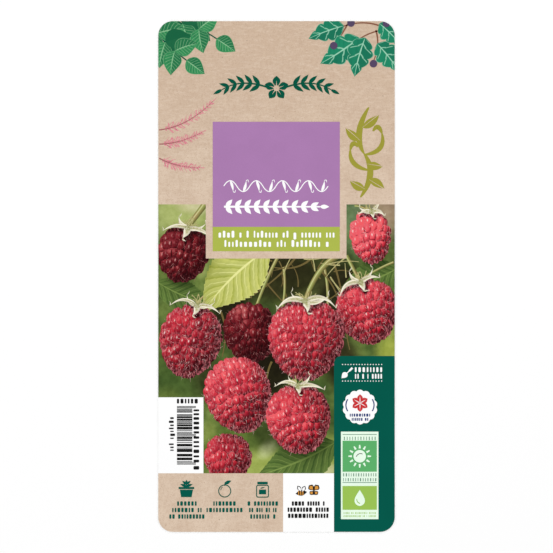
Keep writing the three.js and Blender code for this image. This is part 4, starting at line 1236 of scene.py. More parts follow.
def badge():
    """The badge: a sun over a watering drop, with fine rules between its fields."""
    x = (BADGE.left + BADGE.right) / 2
    upper = (BADGE_UPPER.foot + BADGE_UPPER.head) / 2
    lower = (BADGE_LOWER.foot + BADGE_LOWER.head) / 2
    at_sun, at_drop = about(x, upper), about(x, lower)
    sun, swirl, drop, shine = (Film(MARK_TOP) for _ in range(4))
    disc(sun, x, upper, SUN["radius"], SYMBOL_TOP, 48)
    beam = straight((SUN["ray_from"], 0), (SUN["ray_to"], 0))
    ray = pattern("ray", lambda film, head: ribbon(film, beam, 0.9, 0.5, head, 2))
    rays = ring(ray, "pale_green_print", x, upper, MARK_TOP, SUN["rays"])
    mesh = together("badge_sun_print", sun.close().to_mesh("disc"), rays)
    piece("badge_sun_print", mesh, "pale_green_print", "badge_sun")
    ribbon(swirl, [at_sun(-1.5, -0.2), at_sun(-0.4, 1.7), at_sun(1.2, 0.9)], 0.28, 0.28, SYMBOL_TOP, 16)
    printed("badge_sun_line", swirl, "mid_green_print")
    foot, tip = at_drop(0, -DROP["reach"]), at_drop(0, DROP["reach"])
    leaf(drop, foot, tip, DROP["width"], SYMBOL_TOP - 0.03, full=0.62, steps=36)
    printed("badge_drop_print", drop, "pale_green_print", "badge_drop")
    gleam = [at_drop(-1.25, -0.4), at_drop(-1.3, -1.9), at_drop(0.1, -2.3)]
    ribbon(shine, gleam, 0.3, 0.4, SYMBOL_TOP - 0.02, 14)
    printed("badge_drop_line", shine, "fresh_green_print")
    rules = Film(PANEL_TOP)
    for y in (BADGE.head - 1.2, BADGE_LOWER.head + 1.5):
        foot, head = y - BADGE_RULE, y + BADGE_RULE
        rectangle(rules, BADGE_UPPER.left, foot, BADGE_UPPER.right, head, PANEL_TOP + 0.03)
    printed("badge_rules", rules, "grey_print")


SEAL_FLOWER = {"rise": 1.7, "petals": 6, "reach": 0.51, "width": 0.32, "heart": 0.17}  # by the seal's radius
SEAL_ARC = {"rise": 0.8, "radius": 0.8, "bow": 1.16, "turn": 0.45, "width": 0.5}


def seal():
    """The seal: a red flower over two rows of marks, with a short blue arc on each side."""
    x = (SEAL.left + SEAL.right) / 2
    middle = (SEAL.foot + SEAL.head) / 2
    radius = (SEAL.right - SEAL.left) / 2
    y = middle + SEAL_FLOWER["rise"]
    reach = radius * SEAL_FLOWER["reach"]
    petal = leaf_pattern("seal_petal", reach, radius * SEAL_FLOWER["width"], full=1.35, steps=16)
    petals = ring(petal, "red_print", x, y, PANEL_TOP, SEAL_FLOWER["petals"], UPWARDS)
    heart = Film(PANEL_TOP)
    disc(heart, x, y, radius * SEAL_FLOWER["heart"], MARK_TOP - 0.03)
    mesh = together("seal_flower_print", petals, heart.close().to_mesh("heart"))
    piece("seal_flower_print", mesh, "red_print", "seal_flower")
    vein = leaf_pattern("seal_petal_line", reach * 0.8, 0.3, full=0.7)
    veins = ring(vein, "white_print", x, y, PANEL_TOP + 0.03, SEAL_FLOWER["petals"], UPWARDS, lift=0.0)
    piece("seal_flower_lines", together("seal_flower_lines", veins), "white_print")
    arcs = Film(PANEL_TOP)
    centre = (x, middle + SEAL_ARC["rise"])
    far, turn, width = radius * SEAL_ARC["radius"], SEAL_ARC["turn"], SEAL_ARC["width"]
    for side in (0, math.pi):
        bow = polar(*centre, far * SEAL_ARC["bow"], side)
        arc = [polar(*centre, far, side - turn), bow, polar(*centre, far, side + turn)]
        ribbon(arcs, arc, width, width, PANEL_TOP + THIN, 16)
    printed("seal_arcs", arcs, "blue_print")


TROWEL = (30.2, -40.9)
STRIP_RULES = [Line(36.2, -37.2, 17, 0, 0.0), Line(36.2, -44.2, 17, 0, 0.0)]


def strip():
    """The head of the strip: a trowel between two dotted rules."""
    film = Film()
    at = about(*TROWEL)
    leaf(film, at(-0.4, 0.2), at(-2.7, -2.1), 2.4, FIELD_TOP + THICK, full=0.7, steps=20)  # its blade
    ribbon(film, [at(-1, -0.5), at(0, 0.4), at(0.7, 1.1)], 0.4, 0.4, FIELD_TOP + 0.06)
    ribbon(film, [at(0.5, 0.9), at(1.2, 1.6), at(1.9, 2.3)], 0.75, 0.9, FIELD_TOP + 0.07)  # its grip
    printed("strip_trowel_print", film, "white_print", "strip_trowel")
    rules = [dotted(line, FIELD_TOP, "white_print", 0.46) for line in STRIP_RULES]
    piece("strip_rules", together("strip_rules", *rules), "white_print")


# --------------------------------------------------
# Care symbols and the bar code
# --------------------------------------------------

SYMBOL_HEAD = FIELD_TOP + THICK
STROKE = 0.5


def stroke(film, start, end, head, width=STROKE):
    """A straight line."""
    ribbon(film, straight(start, end), width, width, head, 2)


def hoop(film, outer, inner, head):
    """The face between two outlines with the same number of points."""
    count = len(outer)
    faces = [(k, (k + 1) % count, count + (k + 1) % count, count + k) for k in range(count)]
    film.island(outer + inner, faces, head)


def pot_symbol(x, y):
    """A tapered pot with a thick rim and a plant of five leaves."""
    at = about(x, y)
    film = Film()
    polygon(film, [at(-2.2, -3.4), at(2.2, -3.4), at(2.8, -0.25), at(-2.8, -0.25)], SYMBOL_HEAD)
    rectangle(film, *at(-3.3, 0), *at(3.3, 0.9), SYMBOL_HEAD)
    stroke(film, at(0, 0.9), at(0, 2.8), SYMBOL_HEAD + LIFT)
    leaf(film, at(0, 2.2), at(0, 3.9), 1.0, SYMBOL_HEAD + 2 * LIFT)
    for side in (-1, 1):
        leaf(film, at(0, 1), at(side * 2.6, 2), 1.1, SYMBOL_HEAD + (4 + side) * LIFT, bend=0.1 * side)
        leaf(film, at(0, 1.9), at(side * 1.8, 3.4), 1.0, SYMBOL_HEAD + (5 + side) * LIFT, bend=0.1 * side)
    printed("symbol_pot_print", film, "dark_green_print", "symbol_pot")


def fruit_symbol(x, y):
    """A round fruit in outline, with a stalk, a leaf and a gleam."""
    at = about(x, y)
    film = Film()
    hoop(film, round_outline(*at(0, -0.6), 2.75, 36), round_outline(*at(0, -0.6), 2.35, 36), SYMBOL_HEAD)
    ribbon(film, [at(0, 1.6), at(0, 2.4), at(0.4, 3.2)], 0.4, 0.5, SYMBOL_HEAD + LIFT)
    leaf(film, at(0.1, 2.2), at(2.8, 3.7), 1.4, SYMBOL_HEAD + 2 * LIFT, bend=0.12)
    ribbon(film, [at(-1.6, -0.3), at(-1.7, 0.6), at(-0.9, 1.1)], 0.26, 0.26, SYMBOL_HEAD)
    printed("symbol_fruit_print", film, "dark_green_print", "symbol_fruit")


def jar_symbol(x, y):
    """A jar in outline, with a lid and a small sign on it."""
    at = about(x, y)
    film = Film()

    def wall(half_width, foot, head, radius):
        corners = (-half_width, foot), (half_width, foot), (half_width, head), (-half_width, head)
        return cornered([(*at(*corner), radius) for corner in corners])
    hoop(film, wall(2.7, -3.5, 1.9, 0.8), wall(2.3, -3.1, 1.5, 0.5), SYMBOL_HEAD)
    rectangle(film, *at(-2.2, 2.1), *at(2.2, 3.2), SYMBOL_HEAD)
    rectangle(film, *at(-1.5, -2.1), *at(1.5, -0.1), SYMBOL_HEAD)
    leaf(film, at(-1, 0.4), at(1, 0.9), 0.5, SYMBOL_HEAD)
    printed("symbol_jar_print", film, "dark_green_print", "symbol_jar")


BUTTERFLY_WINGS = [(3.1, 0.85, 2.5), (2.3, -0.75, 1.9)]  # the reach, angle and width of each pair


def butterfly_symbol(x, y):
    """A butterfly in black, with amber fields in its wings."""
    at = about(x, y)
    body, fields = Film(), Film()
    wings = [(side, *wing) for wing in BUTTERFLY_WINGS for side in (1, -1)]
    for k, (side, reach, angle, width) in enumerate(wings):
        def out(far):
            return at(side * far * math.cos(angle), far * math.sin(angle))
        top = SYMBOL_HEAD + k * LIFT
        leaf(body, at(0, 0), out(reach), width, top, full=1.5, steps=20)
        leaf(fields, out(0.5), out(reach * 0.84), width * 0.66, top + 0.012, full=1.5, steps=20)
    stroke(body, at(0, -1.7), at(0, 1.6), SYMBOL_HEAD + 0.03, 0.6)
    for side in (-1, 1):
        feeler = [at(0, 1.4), at(side * 0.3, 2.3), at(side * 0.9, 2.6)]
        ribbon(body, feeler, 0.16, 0.22, SYMBOL_HEAD + 0.03)
    printed("symbol_butterfly_print", body, "black_print", "symbol_butterfly")
    printed("butterfly_wings", fields, "amber_print")


def bee_symbol(x, y):
    """A bee in black, with amber stripes and white fields in its two wings."""
    at = about(x, y)
    body, stripes, fields = Film(), Film(), Film()
    leaf(body, at(-2.4, -0.5), at(2.4, 0.3), 2.4, SYMBOL_HEAD, full=1, steps=24)
    for k in range(3):
        foot, head = at(-1.1 + 0.9 * k, -1.1), at(-1.2 + 0.9 * k, 0.75)
        stroke(stripes, foot, head, SYMBOL_HEAD + 0.01, 0.42)
    wings = [(at(0, 0.4), at(-1.6, 2.9)), (at(0.4, 0.4), at(1.6, 2.8))]
    for k, (base, tip) in enumerate(wings):
        leaf(body, base, tip, 1.65, SYMBOL_HEAD + (k + 1) * LIFT, full=1.3, steps=16)
        near = tuple(np.array(base) * 0.14 + np.array(tip) * 0.86)
        leaf(fields, base, near, 1.05, SYMBOL_HEAD + 0.01 + k * LIFT, full=1.3, steps=16)
    printed("symbol_bee_print", body, "black_print", "symbol_bee")
    printed("bee_stripes", stripes, "amber_print")
    printed("bee_wings", fields, "white_print")


SYMBOLS = {
    pot_symbol: (-38.1, -89.9),
    fruit_symbol: (-21.9, -90.1),
    jar_symbol: (-5.9, -90.0),
    butterfly_symbol: (15.8, -90.6),
    bee_symbol: (10.5, -91.4),
}


def care_symbols():
    """The symbols in the white footer."""
    for draw, (x, y) in SYMBOLS.items():
        draw(x, y)


def scatter(index, seed):
    """Numbers from 0 to 1 that look random and are always the same for the same input."""
    value = np.sin(index * 127.1 + seed * 311.7) * 43758.5453
    return value - np.floor(value)


def draws_for(index, seed, starts):
    """Numbers from -0.5 to 0.5, one for each start."""
    return [scatter(index, seed + start) - 0.5 for start in starts]


MODULE = 0.264  # width of the thinnest bar
PAIR = 3  # modules of the pair of longer bars at each end and in the middle
GUARD = 1.5  # how much longer they are
SPREAD = 0.03  # how far the ink spreads past each side of a bar
BARS = {"widest": 4.2, "seed": 21}  # in modules
GAPS = {"widest": 2.3, "seed": 36}
THIN_BARS = 1.3  # above 1, thin bars and gaps are more common than wide ones


def modules(k, kind):
    """A width of one or more whole modules."""
    return MODULE * (1 + math.floor(kind["widest"] * scatter(k, kind["seed"]) ** THIN_BARS))


def bar_code():
    """Bars of uneven width, by the same rule as the CAD node's, between longer pairs of thin ones."""
    film = Film()
    top = FIELD_TOP + THIN
    middle = (CODE.foot + CODE.head) / 2
    for at in (CODE.foot, middle - PAIR / 2 * MODULE, CODE.head - PAIR * MODULE):
        for k in (0, 2):
            foot, head = at + k * MODULE - SPREAD, at + (k + 1) * MODULE + SPREAD
            rectangle(film, CODE.left, max(foot, CODE.foot), CODE.right, min(head, CODE.head), top)
    from_end, from_middle = (PAIR + 1) * MODULE, (PAIR / 2 + 1) * MODULE
    halves = [(CODE.foot + from_end, middle - from_middle), (middle + from_middle, CODE.head - from_end)]
    k = 0
    for y, end in halves:
        while y < end:
            bar = min(modules(k, BARS), end - y)
            rectangle(film, CODE.left, y - SPREAD, CODE.right - GUARD, y + bar + SPREAD, top)
            y += bar + modules(k, GAPS)
            k += 1
    printed("code_bars_print", film, "black_print", "code_bars")


# --------------------------------------------------
# The picture: raspberries, leaves and stalks
# --------------------------------------------------

DRUPELET = 3.4  # the size of a grain of a raspberry
AROUND, ALONG = 0.8, 1.05  # how far apart the grains are round a berry and along it, by their size
SUNK = 0.42  # how far the middle of a grain lies inside the berry's outline, by its size
STRAY = 0.42  # how unevenly the grains are set, by their pitch
GRAIN_RADIUS, GRAIN_VARIETY = 0.57, 0.1  # by the size of a grain
SLIM, TALL = 0.84, 1.12  # a grain is longer along the berry than across it
SHOULDER = 0.15  # how much wider than its middle a berry is towards its stalk
LEAN = 0.35  # how far its tip leans forward
EGG_ROOM = 0.9  # how far the smooth egg in a berry's outline lies inside it, by the size of a grain
RIM_FROM = 0.86  # grains this far out stand at the rim, unless they lie far back
RIM_BACK = -0.12  # by the berry's width
GRID = 0.3  # between the points of a berry's film
GRID_ROWS = 0.87  # between their rows, by the grid
GRAIN_INSET, EGG_INSET = 0.96, 0.78  # how far out they go, by a rim grain's reach and by the outline
HAIR_ROOM = 2.2  # how far from the picture's sides a hair may start

LAMP = (-0.5, 0.52, 0.69)  # the way to the light that the picture shows
FACING = (0.1, 0.86)  # light on a grain that faces away from the lamp, and what facing it adds
OPEN = (0.06, 0.98)  # light in the deepest crease between grains, and what open sky adds
PALENESS = (0.82, 0.3)  # light on the darkest grain, and what being the palest one adds
GRAIN_FORM, BERRY_FORM = 0.66, 0.7  # how much the forms of the grain and of the berry turn the light
CREASE = 0.95  # a point is out of the crease when its grain stands this much above the next one
OPEN_EDGE = (0.0, 0.6)  # where the open sky comes in, by how far a point is out of the crease
RIM_EDGE = (0.72, 1.02)  # where a berry's rim comes in, by its outline
FUZZ_EDGE = (0.45, 0.85)  # where the down round a grain comes in, by the grain's reach
FUZZ_OPEN = (0.04, 0.3)  # and by how far a point is out of the crease
FAR_BELOW = -99
GLINT = {  # on a grain, by its half sizes
    "across": -0.24, "along": 0.26, "width": 0.2, "length": 0.4, "stray": 0.3,
    "edge": (0.3, 1.0), "lit": (0.1, 0.75), "faint": 0.15, "bright": 0.8, "bright_from": 0.4,
}
THROW = (1.5, -2.2)  # how far the nearer fruit's shadow falls to the side
SHADOW_EDGE = (0.86, 1.3)  # where it starts and ends to fade, by that fruit's outline
DIM_EDGE = (0.9, 1.9)  # the same for the dimmer room round the fruit
DIM = 0.5
SHADOW_DEPTH = 0.9

Berry = namedtuple("Berry", "name x y width length turn seed level glow dark")
BERRIES = [  # from front to back; glow is how brightly lit a berry is
    Berry("centre", 12.5, -27, 32, 34, -0.08, 1, 6, 0.87, False),
    Berry("lower", 9.5, -60.5, 27, 29, 0.16, 2, 5.4, 1.04, False),
    Berry("lower_left", -16, -50.5, 28, 32, 0.3, 3, 4.8, 0.98, False),
    Berry("right", 38.5, -15, 26, 27, 0.25, 4, 4.2, 1.04, False),
    Berry("left", -36.5, -27.5, 26, 31, -0.2, 5, 3.8, 0.68, False),
    Berry("upper_left", -39.5, 9.5, 22, 24, -0.2, 6, 3.4, 0.9, True),
    Berry("upper_right", 39.8, 16.5, 17.5, 22.5, 0.12, 7, 3.2, 1.6, False),
    Berry("foot", -20.5, -77, 20, 20, 0, 8, 2.6, 0.88, False),
    Berry("back", -11, -24, 23, 25, 0.1, 9, 1.6, 1.0, True),
]
SHADING_BERRIES = BERRIES[:-1]  # those that stand in front of the leaves
CALYX_LEVEL = 7.2
STEM_LEVEL = 1.0
TWIG_LEVEL = 0.6


def level(rank):
    """The height of a layer of the picture."""
    return FIELD_TOP + 0.02 + 0.01 * rank


def unit(vectors):
    """The same directions, with a length of one."""
    return vectors / np.linalg.norm(vectors, axis=-1, keepdims=True)


def dome(x, y, least):
    """The way out of a round dome at points that are given by its radius. Least keeps it off the level."""
    return np.stack([x, y, np.sqrt(np.maximum(least, 1 - x ** 2 - y ** 2))], 1)


def turned(x, y, angle):
    """Turns a place about the origin."""
    return x * math.cos(angle) - y * math.sin(angle), x * math.sin(angle) + y * math.cos(angle)


def oval(berry, x, y):
    """How far a point lies from the berry's middle, as a share of its outline."""
    aside, above = turned(x - berry.x, y - berry.y, -berry.turn)
    return np.hypot(aside / (berry.width / 2), above / (berry.length / 2))


def shadow_of(berries):
    """How dark the shadow of nearer fruit is at a point behind it, and the dimmer room round the fruit."""
    def shade(x, y):
        dark = x * 0.0
        for berry in berries:
            far = oval(berry, x - THROW[0], y - THROW[1])
            dark = np.maximum(dark, 1 - smooth(far, *SHADOW_EDGE))
            dark = np.maximum(dark, DIM * (1 - smooth(far, *DIM_EDGE)))
        return dark
    return shade


def grains_of(berry):
    """The grains, in uneven rings round an egg whose tip leans forward: x, y, z, radius and tone."""
    core = berry.width / 2 - DRUPELET * SUNK
    half = berry.length / 2 - DRUPELET * SUNK
    rings = round(math.pi * (core + half) / 2 / (DRUPELET * ALONG))
    grains = []
    for k in range(rings):
        ring_angle = math.pi * (k + 0.5) / rings
        count = max(1, round(2 * math.pi * core * math.sin(ring_angle) / (DRUPELET * AROUND)))
        for j in range(count):
            size, slip, side, tone = draws_for(len(grains), berry.seed, (0, 20, 40, 60))
            polar_angle = ring_angle + STRAY * slip * math.pi / rings
            radius = core * math.sin(polar_angle) * (1 + SHOULDER * math.cos(polar_angle))
            height = half * math.cos(polar_angle)
            angle = 2 * math.pi * (j + 0.5 * (k % 2) + STRAY * side) / count + berry.seed
            across, forward = radius * math.cos(angle), radius * math.sin(angle)
            depth, up = turned(forward, height, LEAN)
            x, y = turned(across, up, berry.turn)
            radius = DRUPELET * (GRAIN_RADIUS + GRAIN_VARIETY * size)
            grains.append((berry.x + x, berry.y + y, depth, radius, 0.5 + tone))
    return np.array(grains)


def filled(outlines, extra):
    """Triangles that fill the union of the outlines, with extra points in it."""
    points = [Vector(point) for outline in outlines for point in outline]
    faces, first = [], 0
    for outline in outlines:
        faces.append(list(range(first, first + len(outline))))
        first += len(outline)
    points += [Vector(point) for point in extra]
    places, _, triangles, *_ = delaunay_2d_cdt(points, [], faces, INSIDE, JOIN_TOLERANCE)
    used = sorted({i for triangle in triangles for i in triangle})
    place_of = {old: new for new, old in enumerate(used)}
    return [tuple(places[i]) for i in used], [[place_of[i] for i in triangle] for triangle in triangles]


def oval_outline(x, y, across, up, turn, sides):
    """An oval in a turned frame."""
    places = [turned(a * across, b * up, turn) for a, b in round_outline(0, 0, 1, sides)]
    return [(x + dx, y + dy) for dx, dy in places]


def berry_outlines(berry, grains):
    """The smooth egg of the middle, and the grains that stand out at the rim."""
    room = DRUPELET * EGG_ROOM
    reach = (berry.width / 2 - room, berry.length / 2 - room)
    far = np.hypot((grains[:, 0] - berry.x) / reach[0], (grains[:, 1] - berry.y) / reach[1])
    rim = grains[(grains[:, 2] > RIM_BACK * berry.width) & (far > RIM_FROM)]
    egg = oval_outline(berry.x, berry.y, *reach, berry.turn, 48)
    bumps = [oval_outline(x, y, r * SLIM, r * TALL, berry.turn, 24) for x, y, _, r, _ in rim]
    return [egg] + bumps, rim


def in_grains(berry, grains, x, y):
    """Where each point lies in each grain, across and along it, by the grain's reach."""
    across, along_it = turned(x[:, None] - grains[None, :, 0], y[:, None] - grains[None, :, 1], -berry.turn)
    return across / (SLIM * grains[:, 3]), along_it / (TALL * grains[:, 3])


def lighting(berry, grains, x, y):
    """What each point of a berry shows, as marks: light, tone, rim, glint and fuzz."""
    aside, above = in_grains(berry, grains, x, y)
    room = 1 - aside ** 2 - above ** 2
    bulge = grains[None, :, 3] * np.sqrt(np.maximum(room, 0))
    heights = np.where(room > 0, grains[None, :, 2] + bulge, FAR_BELOW + room)
    order = np.argsort(heights, axis=1)
    points = np.arange(len(x))
    nearest, second = order[:, -1], order[:, -2]
    open_room = np.clip((heights[points, nearest] - heights[points, second]) / CREASE, 0, 1)
    a, b = aside[points, nearest], above[points, nearest]
    grain = dome(*turned(a, b, berry.turn), 0.02)
    body = unit(dome((x - berry.x) / (berry.width / 2), (y - berry.y) / (berry.length / 2), 0.05))
    to_lamp = unit(np.array(LAMP))
    facing = np.maximum(0, unit(GRAIN_FORM * grain + BERRY_FORM * body) @ to_lamp)
    tone = grains[nearest, 4]
    light = berry.glow
    out_of_crease = smooth(open_room, *OPEN_EDGE)
    for (least, gain), share in ((FACING, facing), (OPEN, out_of_crease), (PALENESS, tone)):
        light = light * (least + gain * share)
    shine = scatter(nearest, berry.seed + 80)
    middle = GLINT["across"] + GLINT["stray"] * (scatter(nearest, berry.seed + 90) - 0.5)
    streak = np.hypot((a - middle) / GLINT["width"], (b - GLINT["along"]) / GLINT["length"])
    spark = (1 - smooth(streak, *GLINT["edge"])) * smooth(body @ to_lamp, *GLINT["lit"])
    shine = GLINT["faint"] + np.where(shine > GLINT["bright_from"], GLINT["bright"] * shine, 0)
    return {
        "light": light, "tone": tone, "glint": spark * shine,
        "rim": smooth(oval(berry, x, y), *RIM_EDGE),
        "fuzz": smooth(np.hypot(a, b), *FUZZ_EDGE) * smooth(open_room, *FUZZ_OPEN),
    }


def grid_points(berry, rim):
    """Points in staggered rows inside a berry's outline."""
    span = max(berry.width, berry.length) / 2
    rows = np.arange(-span, span, GRID * GRID_ROWS)
    x, y = np.meshgrid(np.arange(-span, span, GRID), rows)
    x = x + np.where(np.arange(len(rows)) % 2, GRID / 2, 0)[:, None]
    x, y = x.ravel() + berry.x, y.ravel() + berry.y
    in_a_grain = np.hypot(*in_grains(berry, rim, x, y)).min(1) < GRAIN_INSET
    keep = in_a_grain | (oval(berry, x, y) < EGG_INSET)
    return zip(x[keep], y[keep])


def berry_print(berry, nearer):
    """One raspberry: its outline is made of its rim's grains, and it carries the light on each grain."""
    grains = grains_of(berry)
    outlines, rim = berry_outlines(berry, grains)
    points, triangles = filled(outlines, grid_points(berry, rim))
    x, y = np.array(points).T
    marks = lighting(berry, grains, x, y)
    dark = np.maximum(shadow_of(nearer)(x, y), sepal_shadow(x, y))
    marks["light"] = marks["light"] * (1 - SHADOW_DEPTH * dark)
    marks["glint"] = marks["glint"] * (1 - dark)
    film = Film()
    film.island(points, triangles, level(berry.level), **marks)
    film.trim(PICTURE_OUTLINE)
    ground = rooted(film, "skin")
    ink = "dark_berry_print" if berry.dark else "berry_print"
    printed(f"berry_{berry.name}_print", film, ink, f"berry_{berry.name}")
    down_ink = "dim_down_print" if berry.dark else "down_print"
    down(f"berry_{berry.name}_down", ground, berry, BERRY_DOWN, down_ink)


def well_inside(place, margin):
    """True if the place lies in the picture and at least the margin from its sides."""
    return all(
        inside(PICTURE_OUTLINE, place.x + dx, place.y + dy)
        for dx, dy in ((margin, 0), (-margin, 0), (0, margin), (0, -margin))
    )


def rooted(film, name):
    """The part of a film where hairs may start, as a mesh of its own."""
    skin = film.mesh.copy()
    near_rim = [face for face in skin.faces if not well_inside(face.calc_center_median(), HAIR_ROOM)]
    bmesh.ops.delete(skin, geom=near_rim, context="FACES")
    bmesh.ops.scale(skin, vec=(MM, MM, MM), verts=skin.verts)
    ground = bpy.data.meshes.new(name)
    skin.to_mesh(ground)
    skin.free()
    return ground


def hair_pattern(name, path, width, steps):
    """One curved hair that starts at the origin and lies along X."""
    def draw(film, head):
        band(film, path, lambda t: width * (1.1 - t), head, steps, 2)
    return pattern(name, draw, -0.002, 0.004)


Down = namedtuple("Down", "shape density stray")  # the density is by the square metre
BERRY_DOWN = Down(hair_pattern("hair", [(0, 0), (1.0, 0.35), (1.9, 0.1)], 0.055, 4), 260000.0, 0.9)
SEPAL_WOOL = Down(hair_pattern("wool", [(0, 0), (0.4, 0.16), (0.8, 0.02)], 0.05, 3), 1.6e6, 1.6)


def down(name, ground, owner, kind, ink):
    """Fine hairs on a berry or a calyx, that lean away from its middle."""
    hairs = grown(
        "down", ground, Density=kind.density, CentreX=owner.x * MM, CentreY=owner.y * MM, Stray=kind.stray,
        Lift=0.0, Seed=owner.seed, Shape=kind.shape, Ink=INKS[ink],
    )
    piece(name, together(name, hairs), ink)


Calyx = namedtuple("Calyx", "name x y turn reach width seed")
CALYXES = [
    Calyx("centre", 12, -10.5, -0.1, 11, 2.4, 1), Calyx("right", 35.5, -2.4, 0.25, 9.8, 2.2, 2),
    Calyx("upper_left", -37.5, 20.5, -0.25, 9.4, 2.1, 3), Calyx("lower", 9, -46.4, 0.15, 9, 2.1, 4),
    Calyx("left", -33.6, -12.4, -0.2, 9.6, 2.1, 5), Calyx("upper_right", 40.2, 27.4, 0.1, 7.2, 1.9, 6),
]
Sepal = namedtuple("Sepal", "lean reach width bow curl")
SEPALS = [  # from back to front: lean is the turn away from the berry's tip
    Sepal(-2.3, 0.8, 0.8, 0.3, -1.3), Sepal(2.2, 0.85, 0.8, -0.3, 1.3), Sepal(-1.4, 1.1, 0.9, -0.34, -1.6),
    Sepal(1.35, 1.05, 0.95, 0.32, 1.5), Sepal(0.1, 0.42, 1.2, 0.2, 1.3),
]
VARIETY = Sepal(0.75, 0.5, 0.5, 0.9, 0)  # how much each of these strays
SEPAL_FULL = 0.5  # a sepal is widest near its base
SEPAL_TIP = {"reach": 0.2, "width": 0.24, "bend": 0.3}  # its hook, by the calyx's reach and the sepal's width
SEPAL_THROW = (0.7, -1.1)  # how far a sepal's shadow falls to the side
SEPAL_SHADOW = {"from": 0.05, "to": 0.95, "steps": 10, "room": 0.35, "edge": (0.5, 1.7)}
CALYX_HEART = 1.2
STAMENS = {  # dried threads round a stalk
    "count": 16, "fan": 2.6, "reach": 0.42, "variety": 0.3, "bow": 0.7, "foot": 0.2, "tip": 0.34,
}


def sepals_of(calyx):
    """The sepals of one calyx, each with its midrib, its width and the heading of its curled tip."""
    for k, sepal in enumerate(SEPALS):
        lean, reach, bow, width = draws_for(k, calyx.seed, (0, 7, 13, 29))
        heading = calyx.turn - math.pi / 2 + sepal.lean + VARIETY.lean * lean
        tip = polar(calyx.x, calyx.y, calyx.reach * sepal.reach * (1 + VARIETY.reach * reach), heading)
        path = leaf_path((calyx.x, calyx.y), tip, sepal.bow * (1 + VARIETY.bow * bow))
        yield path, calyx.width * sepal.width * (1 + VARIETY.width * width), heading + sepal.curl


def sepal_shadow(x, y):
    """How dark the soft shadows of the sepals are at points of the berries."""
    dark = x * 0.0
    for calyx in CALYXES:
        for path, width, _ in sepals_of(calyx):
            half = swelling(width, SEPAL_FULL, 0)
            for t in np.linspace(SEPAL_SHADOW["from"], SEPAL_SHADOW["to"], SEPAL_SHADOW["steps"]):
                at = along(path, t)[0] + SEPAL_THROW
                far = np.hypot(x - at[0], y - at[1]) / (SEPAL_SHADOW["room"] + half(t))
                dark = np.maximum(dark, 1 - smooth(far, *SEPAL_SHADOW["edge"]))
    return dark


def stamens(calyx):
    """Thin dried threads that stand out round the stalk end of a berry."""
    film = Film()
    for k in range(STAMENS["count"]):
        turn, reach, bow = draws_for(k, calyx.seed, (101, 113, 127))
        heading = calyx.turn + math.pi / 2 + STAMENS["fan"] * turn
        tip = polar(calyx.x, calyx.y, calyx.reach * (STAMENS["reach"] + STAMENS["variety"] * reach), heading)
        path = leaf_path((calyx.x, calyx.y), tip, STAMENS["bow"] * bow)
        ribbon(film, path, STAMENS["foot"], STAMENS["tip"], level(CALYX_LEVEL) - (k + 1) * LIFT, 10)
    printed(f"calyx_{calyx.name}_stamens", film.trim(PICTURE_OUTLINE), "straw_print")


def calyx_print(calyx):
    """Narrow curling sepals round the stalk end of a berry, with woolly hairs."""
    film = Film()
    for k, (path, width, curl) in enumerate(sepals_of(calyx)):
        top = level(CALYX_LEVEL) + k * LIFT
        half = swelling(width, SEPAL_FULL, 0.05)
        band(film, path, half, top, 22, 7)
        tip = path[2]
        hook = polar(*tip, calyx.reach * SEPAL_TIP["reach"], curl)
        bend = math.copysign(SEPAL_TIP["bend"], curl)
        leaf(film, tip, hook, width * SEPAL_TIP["width"], top, bend, full=0.6, steps=8)
    disc(film, calyx.x, calyx.y, CALYX_HEART, level(CALYX_LEVEL) + len(SEPALS) * LIFT, along=0.1)
    film.trim(PICTURE_OUTLINE)
    ground = rooted(film, "woolly")
    printed(f"calyx_{calyx.name}_print", film, "sepal_print", f"calyx_{calyx.name}")
    down(f"calyx_{calyx.name}_wool", ground, calyx, SEPAL_WOOL, "wool_print")


Leaf = namedtuple("Leaf", "name base tip width bend level ink")
LEAVES = [
    Leaf("upper", (-3, 12), (-31, -15), 23, -0.1, 2.2, "fresh_leaf_print"),
    Leaf("foot", (25, -70), (-8, -84), 20, 0.08, 0.4, "deep_leaf_print"),
    Leaf("right", (52, 4), (27, -5), 17, 0.1, 0.2, "deep_leaf_print"),
    Leaf("left", (-51, -2), (-26, -12), 13, -0.1, 0.2, "deep_leaf_print"),
]
LEAF_TEETH = {"depth": 0.045, "teeth": 17}
LEAF_SHADOW = 0.75


def picture_leaves():
    """Toothed leaves behind the fruit, in its shadow where they lie under it."""
    fruit_shadow = shadow_of(SHADING_BERRIES)
    for spec in LEAVES:
        film = Film()
        leaf(film, spec.base, spec.tip, spec.width, level(spec.level), spec.bend, edge=toothed(**LEAF_TEETH),
             steps=102, columns=17, shade=lambda x, y: LEAF_SHADOW * float(fruit_shadow(x, y)))
        printed(f"leaf_{spec.name}_print", film.trim(PICTURE_OUTLINE), spec.ink, f"leaf_{spec.name}")


Stalk = namedtuple("Stalk", "path start end")  # start and end are its widths there
CANES = {
    "cane": Stalk([(27, 9), (18, 6), (12.4, -9.4)], 2.6, 2.0),
    "stalk_back": Stalk([(1, 9), (-4, 0), (-8.5, -12.5)], 1.5, 1.2),
    "stalk_right": Stalk([(29.6, 9), (32, 4), (34.8, -1)], 1.6, 1.4),
}
PEDICELS = [  # thin stalks between the canes and the fruit
    Stalk([(-3, 9), (-14, 8), (-33.6, -11)], 1.1, 0.9),
    Stalk([(20, 5), (26, -20), (11, -44.5)], 1.21, 0.99),
    Stalk([(3, 4), (6, -18), (-9, -36)], 1.1, 0.9),
    Stalk([(49.5, 6), (44, 4), (36, -1)], 1.1, 0.9),
    Stalk([(-30, 31), (-33.5, 26), (-37.2, 21.5)], 2.64, 2.16),
    Stalk([(33, 30), (36, 30), (39.6, 27.6)], 1.1, 0.9),
]
